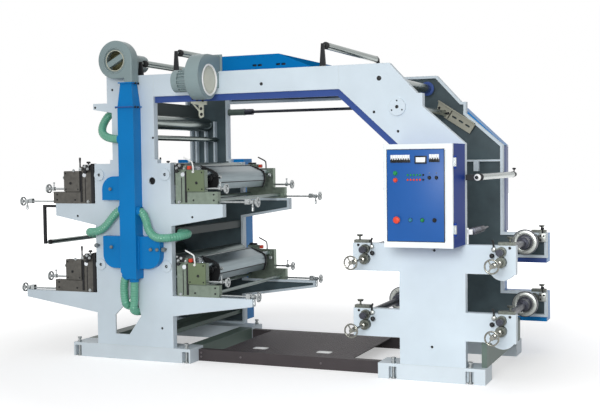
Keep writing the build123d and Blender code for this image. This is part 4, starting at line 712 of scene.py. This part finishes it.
# Hood blower inlet. A white rolled ring round a cream guard of punched sheet, whose holes at 4 mm are drawn
# at 9 mm to show, painted as darker dots for the shade seen through them. The motor behind it has a terminal
# box with a cable gland.
hole_pitch = 0.009
guard_seat = Vector((-0.1855, -0.754, 2.236))
ring, guard, fittings = bmesh.new(), bmesh.new(), bmesh.new()
ring_shape = [(0.106, -0.004), (0.108, 0.004), (0.114, 0.007), (0.120, 0.004), (0.1225, -0.001),
              (0.1175, -0.004)]
lathe(ring, ring_shape, guard_seat, (1, 0, 0), 48, closed=True)
lathe(guard, [(0.112, -0.009), (0.112, -0.006), (0.080, -0.001), (0.040, 0.002), (0.004, 0.003)], guard_seat,
      (1, 0, 0), 48)
block(fittings, (-0.400, -0.790, 2.300), (-0.325, -0.718, 2.336), 0.004)
lathe(fittings, [(0.009, 0), (0.012, 0.004), (0.012, 0.016), (0.008, 0.020)], (-0.3625, -0.790, 2.318),
      (0, -1, 0), 16)
guard_sheet = enamel("punched_cream_guard", "#D6D6C6", "#E8E8DC", roughness=0.45)
tree = guard_sheet.node_tree
place = add(tree, "TexCoord")
cells = add(tree, "TexVoronoi", {"Scale": 1 / hole_pitch, "Randomness": 0.0},
            {"Vector": place.outputs["Object"]})
# The holes are painted darker: painted shade of the blower seen through them.
hole_shade = add(tree, "MapRange", {"From Min": 0.26, "From Max": 0.34, "To Min": 0.6, "To Max": 0.0},
           {"Value": cells.outputs["Distance"]})
punched_hole_shade = add(tree, "Mix", {"data_type": "RGBA", 7: linear("#6C6C58")},
              {0: hole_shade.outputs["Result"], 6: tree.nodes["paint"].outputs[2]})
tree.links.new(punched_hole_shade.outputs[2], tree.nodes["Principled BSDF"].inputs["Base Color"])
piece("hood_blower_inlet_ring", ring, white_enamel)
piece("hood_blower_guard", guard, guard_sheet)
piece("hood_blower_terminal_box", fittings, blower_enamel)

# Tension bracket. A cast plate in cream enamel that hangs below the near beam, with a link rod behind it and
# black-oxide hexagon screws.
bracket_front, bracket_back = -0.566, -0.552
bracket_plates, bracket_screws = bmesh.new(), bmesh.new()
bracket_outline = [(-0.455, 2.140), (-0.315, 2.140), (-0.315, 2.060), (-0.345, 2.060), (-0.345, 1.965),
                   (-0.372, 1.955), (-0.385, 1.975), (-0.385, 2.060), (-0.455, 2.075)]
plate(bracket_plates, bracket_outline, bracket_front, bracket_back)
tube(bracket_plates, [Vector((-0.36, -0.545, 1.980)), Vector((-0.46, -0.545, 2.090))], 0.007, 12)
for along, height in ((-0.435, 2.110), (-0.395, 2.100), (-0.345, 2.095), (-0.362, 1.985), (-0.364, 2.030)):
    hex_head(bracket_screws, (along, bracket_front, height), (0, -1, 0), 0.010)
piece("tension_bracket", bracket_plates, cream_enamel)
piece("tension_bracket_screws", bracket_screws, black_oxide_and_shade)

# Dryer boxes. Folded sheet air boxes between the colours, fixed to the frames and fed by the hoses, in a dull
# heat-proof dark grey paint.
dryer_paint = enamel("heat_proof_dark_grey", "#4A5252", "#6A7272", roughness=0.5)
dress(dryer_paint, "colour_dryers")

# Guide rollers, their posts and the drive shaft. Idler tubes of drawn aluminium, polished by the web, turn on
# black forged arms between dark end caps; the shaft under the far beam is blackened, with an enamelled
# sleeve.
roller_tube = metal("polished_roller_tube", "#616B68", "#9FA7A4", 0.22, 0.012, lay=(1, 0.05, 1), depth=0.05)
arm_paint = enamel("black_satin_paint", "#1E1F22", "#4A4C50", roughness=0.42)
shaft_steel = metal("blackened_shaft_steel", "#2A2B31", "#565861", 0.35, 0.012, lay=(1, 0.1, 1))
dress(roller_tube, "outer_guide_rollers", "inner_guide_rollers")
dress(arm_paint, "roller_arms")
dress(shaft_steel, "drive_shaft")
outfeed_x, outfeed_z = 1.8395, 1.478
roller_caps = bmesh.new()
for along, height, radius in ((-0.9075, 2.412, 0.027), (-0.5805, 2.482, 0.027), (0.6695, 2.474, 0.027),
                              (outfeed_x, outfeed_z, 0.024), (-1.8795, 0.944, 0.020)):
    for end_y, way in ((-0.504, 1), (0.684, -1)):
        cap = [(radius * 0.5, -0.010), (radius * 0.9, -0.008), (radius * 1.04, -0.002),
               (radius * 1.04, 0.016), (radius * 1.005, 0.018)]
        lathe(roller_caps, cap, (along, end_y, height), (0, way, 0), 28)
piece("roller_end_caps", roller_caps, black_oxide_and_shade)
sleeve = bmesh.new()
sleeve_shape = [(0.0275, 0), (0.030, 0.002), (0.030, 0.018), (0.0285, 0.020), (0.0285, 0.148), (0.030, 0.150),
                (0.030, 0.166), (0.0275, 0.168)]
lathe(sleeve, sleeve_shape, (-0.7765, 0.744, 2.062), (1, 0, 0), 28)
piece("drive_shaft_sleeve", sleeve, tie_enamel)

# Outfeed and stand roller fittings. A white hub and black turned knobs clamp the outfeed roller in its arms,
# and a blue disc closes the far end of the stand's roller.
hubs, outfeed_knobs, end_disc = bmesh.new(), bmesh.new(), bmesh.new()
hub_face = (outfeed_x, -0.574, outfeed_z)
lathe(hubs, [(0.022, 0), (0.024, 0.004), (0.024, 0.014), (0.018, 0.018)], hub_face, (0, -1, 0))
lathe(outfeed_knobs, [(0.007, 0.016), (0.007, 0.030), (0.012, 0.034), (0.012, 0.044), (0.006, 0.048)],
      hub_face, (0, -1, 0))
lathe(outfeed_knobs, [(0.005, 0), (0.005, 0.024), (0.014, 0.030), (0.016, 0.036), (0.010, 0.042)],
      (outfeed_x, 0.744, outfeed_z + 0.012), (0, 0, 1))
lathe(end_disc, [(0.040, 0), (0.058, 0.003), (0.060, 0.010), (0.056, 0.014), (0.038, 0.016)],
      (1.1195, 0.700, 2.204), (0, -1, 0), 36)
piece("outfeed_hub", hubs, white_enamel)
piece("outfeed_knobs", outfeed_knobs, black_oxide_and_shade)
piece("stand_roller_disc", end_disc, trim_and_shade_enamel)

# Web guide. A slotted cast bar on the inside of the far stand frame, in grey-beige enamel, with a plate and a
# lip that follow its slope and three black screws.
far_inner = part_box("far_stand_frame")[0].y
guide_tilt = math.radians(33)
guide_middle = Vector((1.4055, 0.702, 1.921))
down_slope = Vector((math.cos(guide_tilt), 0, -math.sin(guide_tilt)))
off_slope = Vector((math.sin(guide_tilt), 0, math.cos(guide_tilt)))
guide_plate = [(-0.255, 0.046), (-0.106, 0.046), (-0.106, -0.046), (-0.220, -0.046)]
guide_lip = [(-0.255, 0.052), (0.110, 0.052), (0.110, 0.044), (-0.255, 0.044)]
guide_rail, guide_screws = bmesh.new(), bmesh.new()
for shape, thick in ((guide_plate, 0.012), (guide_lip, 0.040)):
    corners = [guide_middle + down_slope * along + off_slope * aside for along, aside in shape]
    plate(guide_rail, [(corner.x, corner.z) for corner in corners], far_inner - thick, far_inner + 0.002)
for along in (-0.220, -0.165, -0.130):
    hex_head(guide_screws, guide_middle + down_slope * along, (0, -1, 0), 0.009)
guide_iron = enamel("grey_beige_guide_enamel", "#A3A395", "#BDBDB0", roughness=0.45)
dress(guide_iron, "web_guide_bar")
piece("web_guide_rail", guide_rail, guide_iron)
piece("web_guide_screws", guide_screws, black_oxide_and_shade)

# Winding gear. Machined cast-iron brackets on the stand arms carry blackened winding shafts with core discs;
# axial hand wheels in polished chrome, dark where they mirror the room, stand on the operator side.
bracket_iron = metal("machined_bracket_iron", "#40433F", "#777B74", 0.42, 0.012)
wheel_chrome = metal("polished_wheel_chrome", "#55554F", "#9A9A93", 0.2, 0.012, depth=0.05)
disc_ring = metal("satin_turned_ring", "#858986", "#BDC0BB", 0.34, 0.008)
dress(bracket_iron, "winding_brackets")
for level, side in decks:
    dress(shaft_steel, f"winding_shaft_{level}_{side}")
    dress(wheel_chrome, f"hand_wheel_{level}_{side}")
disc_face = 0.276
ring_screws = 3
ring_screw_reach = 0.075
block_face = far_inner - 0.034
for level, side in decks:
    hand = 1 if side == "right" else -1
    shaft, wheel = f"winding_shaft_{level}_{side}", f"hand_wheel_{level}_{side}"
    axle = joint_places[shaft]
    spindle = joint_places[wheel]
    rings = bmesh.new()
    lathe(rings, [(0.056, 0), (0.094, 0), (0.094, 0.002), (0.090, 0.004), (0.060, 0.004), (0.056, 0.002)],
          (axle.x, disc_face, axle.z), (0, -1, 0), 48, closed=True)
    for step in range(ring_screws):
        angle = math.tau * step / ring_screws
        reach_x, reach_z = ring_screw_reach * math.cos(angle), ring_screw_reach * math.sin(angle)
        hex_head(rings, (axle.x + reach_x, disc_face - 0.004, axle.z + reach_z), (0, -1, 0), 0.006)
    piece(shaft + "_core_ring", rings, disc_ring, body=shaft)
    collar = bmesh.new()
    for start in (0.070, 0.235):
        lathe(collar, [(0.010, 0), (0.020, 0.004), (0.020, 0.028), (0.010, 0.032)],
              (spindle.x, near_face - start, spindle.z), (0, -1, 0), 28)
    piece(wheel + "_collars", collar, wheel_chrome, body=wheel)
    clamps, knobs = bmesh.new(), bmesh.new()
    lathe(clamps, [(0.009, 0), (0.017, 0.003), (0.017, 0.026), (0.011, 0.030)],
          (axle.x - hand * 0.052, near_face, axle.z + 0.018), (0, -1, 0), 20)
    lathe(knobs, [(0.007, 0), (0.007, 0.020), (0.016, 0.026), (0.018, 0.036), (0.014, 0.048), (0.006, 0.052)],
          (axle.x - hand * 0.062, near_face, axle.z - 0.026), (0, -1, 0), 20)
    tube(knobs, [Vector((axle.x - hand * 0.052, near_face - 0.020, axle.z + 0.018)),
                 Vector((axle.x - hand * 0.052, near_face - 0.024, axle.z + 0.060)),
                 Vector((axle.x - hand * 0.060, near_face - 0.024, axle.z + 0.085))], 0.007, 12)
    hex_head(knobs, (axle.x + hand * 0.057, near_face, axle.z + 0.028), (0, -1, 0), 0.008)
    # bearing block on the far arm
    left, right = sorted(stand_x + hand * out for out in (0.542, 0.598))
    block(clamps, (left, block_face, axle.z - 0.030), (right, far_inner + 0.002, axle.z + 0.042), 0.004)
    for out, up in ((0.556, 0.022), (0.584, 0.022), (0.556, -0.012)):
        hex_head(knobs, (stand_x + hand * out, block_face, axle.z + up), (0, -1, 0), 0.007)
    lathe(knobs, [(0.006, 0), (0.006, 0.030), (0.014, 0.034), (0.015, 0.046), (0.010, 0.050)],
          (stand_x + hand * 0.570, far_inner - 0.016, axle.z + 0.040), (0, 0, 1), 20)
    piece(f"winding_clamps_{level}_{side}", clamps, disc_ring)
    piece(f"winding_knobs_{level}_{side}", knobs, black_oxide_and_shade)

# Edge sensor. A stepped spindle of blackened steel, turned with seven collars, on a white enamelled bracket
# that stands on the upper near arm beside the cabinet.
sensor_front, sensor_back = -0.562, -0.553
collar_pitch = 0.03
sensor_bracket, sensor = bmesh.new(), bmesh.new()
block(sensor_bracket, (1.754, sensor_front, 0.998), (1.768, sensor_back, 1.118), 0.002)
block(sensor_bracket, (1.760, sensor_front, 1.070), (1.797, sensor_back, 1.108), 0.002)
sensor_shape = [(0.012, 0), (0.012, 0.05)]
for step in range(7):
    start = step * collar_pitch
    sensor_shape += [(0.028, 0.052 + start), (0.028, 0.070 + start), (0.020, 0.073 + start),
                     (0.020, 0.080 + start)]
sensor_shape += [(0.024, 0.270), (0.024, 0.400), (0.010, 0.410), (0.010, 0.560)]
lathe(sensor, sensor_shape, (1.777, sensor_back, 1.088), (0, 1, 0), 24)
piece("edge_sensor_bracket", sensor_bracket, white_enamel)
piece("edge_sensor", sensor, shaft_steel)

# Control cabinet. A folded sheet-steel box in indigo powder coat, fine-grained and nearly without gloss, with
# a white coated door hung on two hinges; zinc-plated sleeves on the door turn round the pins of the box.
cabinet_coat = enamel("satin_indigo_powder_coat", "#1F3F92", "#4963AC", roughness=0.45, peel=0.003,
                      gloss=0.04)
door_coat = enamel("satin_white_powder_coat", "#E6ECEF", "#F4F6F7", roughness=0.38, peel=0.003)
dress(cabinet_coat, "cabinet_body")
dress(door_coat, "cabinet_door")
hinge = joint_places["cabinet_door"]
sleeve_inner = 0.0088
sleeve_outer = 0.0098
sleeve_half = 0.0295
barrel_shape = [(sleeve_inner, -sleeve_half), (sleeve_outer, -sleeve_half), (sleeve_outer, sleeve_half),
                (sleeve_inner, sleeve_half)]
barrels = bmesh.new()
for height in (1.128, 1.589):
    lathe(barrels, barrel_shape, (hinge.x, hinge.y, height), (0, 0, 1), closed=True)
piece("hinge_barrels", barrels, bright_zinc, body="cabinet_door")

# Control panel. A blue front plate ringed by a dark rim that is painted shade, the shadow line round a
# recessed panel, with two rows of circuit breakers, a panel meter, push buttons, pilot lamps, selector knobs
# and a red stop button. The controls are moulded ABS and PVC with a soft shine, snapped in from the front,
# and ride on the door.
door_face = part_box("cabinet_door")[0].y
panel_front = door_face - 0.003
shadow_line_rim, front_plate = bmesh.new(), bmesh.new()
# Dark rim round the plate: painted shade, the shadow line of a recessed panel.
block(shadow_line_rim, (1.2845, door_face - 0.0012, 1.0415), (1.6965, door_face + 0.007, 1.6815), 0.0008)
block(front_plate, (1.289, panel_front, 1.046), (1.692, door_face + 0.006, 1.677), 0.001)
panel_blue = enamel("satin_blue_panel_paint", "#1C569D", "#4B7CBA", roughness=0.4, peel=0.003)
breaker_abs = enamel("moulded_white_abs", "#EDF1F4", "#FFFFFF", roughness=0.35)
black_abs_and_rim_shade = enamel("moulded_black_abs_and_rim_shade", "#15181C", "#34383D", roughness=0.35)
button_green = enamel("moulded_green_abs", "#1E8A4C", "#3FA86B", roughness=0.3)
button_teal = enamel("moulded_teal_abs", "#2E7F9A", "#5AA0B6", roughness=0.3)
piece("panel_shadow_line", shadow_line_rim, black_abs_and_rim_shade, body="cabinet_door")
piece("panel_plate", front_plate, panel_blue, body="cabinet_door")
whites, darks, reds, greens, teals, chromes = [bmesh.new() for count in range(6)]


def on_panel(mesh, low, high, rise):
    """A rounded block on the panel between two (x, z) corners."""
    block(mesh, (low[0], panel_front - rise, low[1]), (high[0], panel_front + 0.002, high[1]), 0.0012)


breaker_width = 0.0172
for start, count, base, head in ((1.3165, 8, 1.592, 1.642), (1.592, 4, 1.594, 1.644)):
    on_panel(darks, (start - 0.003, base - 0.004), (start + count * breaker_width + 0.003, base + 0.020),
             0.003)
    for step in range(count):
        left = start + step * breaker_width
        right = left + breaker_width
        on_panel(whites, (left + 0.0008, base + 0.016), (right - 0.0008, head), 0.010)
        on_panel(darks, (left + 0.005, base + 0.004), (right - 0.005, base + 0.026), 0.014)
on_panel(darks, (1.489, 1.580), (1.573, 1.634), 0.008)
on_panel(whites, (1.498, 1.590), (1.564, 1.624), 0.0095)
button_shape = [(0.016, -0.001), (0.016, 0.004), (0.013, 0.006), (0.0125, 0.014), (0.010, 0.016)]
for mesh, along, height in ((greens, 1.349, 1.516), (reds, 1.349, 1.468)):
    lathe(mesh, button_shape, (along, panel_front, height), (0, -1, 0))
lamp_shape = [(0.0075, -0.001), (0.0075, 0.003), (0.006, 0.007), (0.003, 0.009)]
for row, height in enumerate((1.503, 1.470)):
    for step in range(6):
        mesh = (greens, reds)[row] if step < 5 else darks
        lathe(mesh, lamp_shape, (1.438 + 0.022 * step, panel_front, height), (0, -1, 0), 16)
selector_shape = [(0.013, -0.001), (0.013, 0.003), (0.010, 0.005), (0.0095, 0.016), (0.008, 0.018)]
for along in (1.591, 1.641):
    lathe(darks, selector_shape, (along, panel_front, 1.484), (0, -1, 0), 20)
    lathe(chromes, [(0.004, -0.001), (0.004, 0.002), (0.003, 0.003)],
          (along, panel_front, 1.516), (0, -1, 0), 16)
lower_row = 1.193
stop_seat = (1.360, panel_front, lower_row)
lathe(chromes, [(0.022, -0.001), (0.022, 0.003), (0.018, 0.005), (0.016, 0.006)], stop_seat, (0, -1, 0))
lathe(reds, [(0.012, 0.004), (0.012, 0.012), (0.023, 0.014), (0.025, 0.020), (0.021, 0.028), (0.010, 0.031)],
      stop_seat, (0, -1, 0), 28)
grip_half = Vector((0.0022, 0.005, 0.010))
for mesh, along in ((teals, 1.455), (greens, 1.540), (darks, 1.625)):
    grip = Vector((along, panel_front - 0.019, lower_row))
    lathe(mesh, selector_shape, (along, panel_front, lower_row), (0, -1, 0), 20)
    block(mesh, grip - grip_half, grip + grip_half, 0.001)
    lathe(darks, [(0.0155, -0.001), (0.0155, 0.002), (0.0140, 0.003)], (along, panel_front, lower_row),
          (0, -1, 0))
for name, mesh, finish, finish_slot in (("panel_breakers", whites, breaker_abs, "door_white"),
                                        ("panel_dark_controls", darks, black_abs_and_rim_shade, "arm_black"),
                                        ("panel_red_controls", reds, cap_red, "tie_paint"),
                                        ("panel_green_controls", greens, button_green, "hose_green"),
                                        ("panel_teal_control", teals, button_teal, "cover_blue"),
                                        ("panel_bezels", chromes, wheel_chrome, "wheel_chrome")):
    piece(name, mesh, finish, body="cabinet_door")

# Studio. A pale floor that runs out to a white horizon, and an even white surround. A broad lamp behind the
# camera is aimed at the stand, so that its light falls off towards the tower, and a wide soft sun gives the
# floor its shadow.
floor_reach = 40.0
floor_lift = 0.42
lift_start, lift_end = 2.2, 6.0
surround_light = 0.42
floor_mesh = bpy.data.meshes.new("floor")
floor_corners = [(way_x * floor_reach, way_y * floor_reach, 0)
                 for way_x, way_y in ((-1, -1), (1, -1), (1, 1), (-1, 1))]
floor_mesh.from_pydata(floor_corners, [], [(0, 1, 2, 3)])
floor = bpy.data.objects.new("floor", floor_mesh)
bpy.context.scene.collection.objects.link(floor)


def looked_at(tree):
    """An output that is 1 for rays that look, straight or by mirror or glass, and 0 for rays that light."""
    ray = add(tree, "LightPath")
    seen = add(tree, "Math", {"operation": "MAXIMUM"},
               {0: ray.outputs["Is Camera Ray"], 1: ray.outputs["Is Glossy Ray"]})
    through = add(tree, "Math", {"operation": "MAXIMUM"},
                  {0: seen.outputs[0], 1: ray.outputs["Is Transmission Ray"]})
    return through.outputs[0]


floor_white = bpy.data.materials.new("white_floor")
floor_white.use_nodes = True
tree = floor_white.node_tree
tree.nodes.remove(tree.nodes["Principled BSDF"])
matt = add(tree, "BsdfDiffuse", {"Color": linear("#E8E8E8")})
ground = add(tree, "TexCoord")
away = add(tree, "VectorMath", {"operation": "LENGTH"}, {0: ground.outputs["Object"]})
brighten = add(tree, "MapRange",
               {"From Min": lift_start, "From Max": lift_end, "To Min": floor_lift, "To Max": 1.0},
               {"Value": away.outputs["Value"]})
lift = add(tree, "Math", {"operation": "MULTIPLY"}, {0: looked_at(tree), 1: brighten.outputs["Result"]})
glow = add(tree, "Emission", {}, {"Strength": lift.outputs[0]})
both = add(tree, "AddShader", {}, {0: matt.outputs[0], 1: glow.outputs[0]})
tree.links.new(both.outputs[0], tree.nodes["Material Output"].inputs["Surface"])
floor_mesh.materials.append(floor_white)

world = bpy.data.worlds.new("surround")
bpy.context.scene.world = world
world.use_nodes = True
tree = world.node_tree
level = add(tree, "MapRange", {"To Min": surround_light, "To Max": 1.0}, {"Value": looked_at(tree)})
tree.links.new(level.outputs["Result"], tree.nodes["Background"].inputs["Strength"])
tree.nodes["Background"].inputs["Color"].default_value = linear("#FFFFFF")

key_light = bpy.data.lights.new("key_light", "AREA")
key_light.energy = 104.0
key_light.shape = "DISK"
key_light.size = 2.6
key_light.spread = math.radians(90)
key_place, key_aim = Vector((2.6, -8.6, 2.7)), Vector((1.9, -0.6, 0.7))
sky_light = bpy.data.lights.new("sky_light", "SUN")
sky_light.energy = 0.5
sky_light.angle = math.radians(70)
sky_place, sky_aim = Vector((-1.0, -2.0, 4.0)), Vector((0.0, 0.0, 0.0))
for light, stand_point, aim in ((key_light, key_place, key_aim), (sky_light, sky_place, sky_aim)):
    lamp = bpy.data.objects.new(light.name, light)
    lamp.location = stand_point
    lamp.rotation_mode = "QUATERNION"
    lamp.rotation_quaternion = (aim - stand_point).to_track_quat("-Z", "Y")
    bpy.context.scene.collection.objects.link(lamp)
bpy.context.scene.view_settings.view_transform = "Standard"
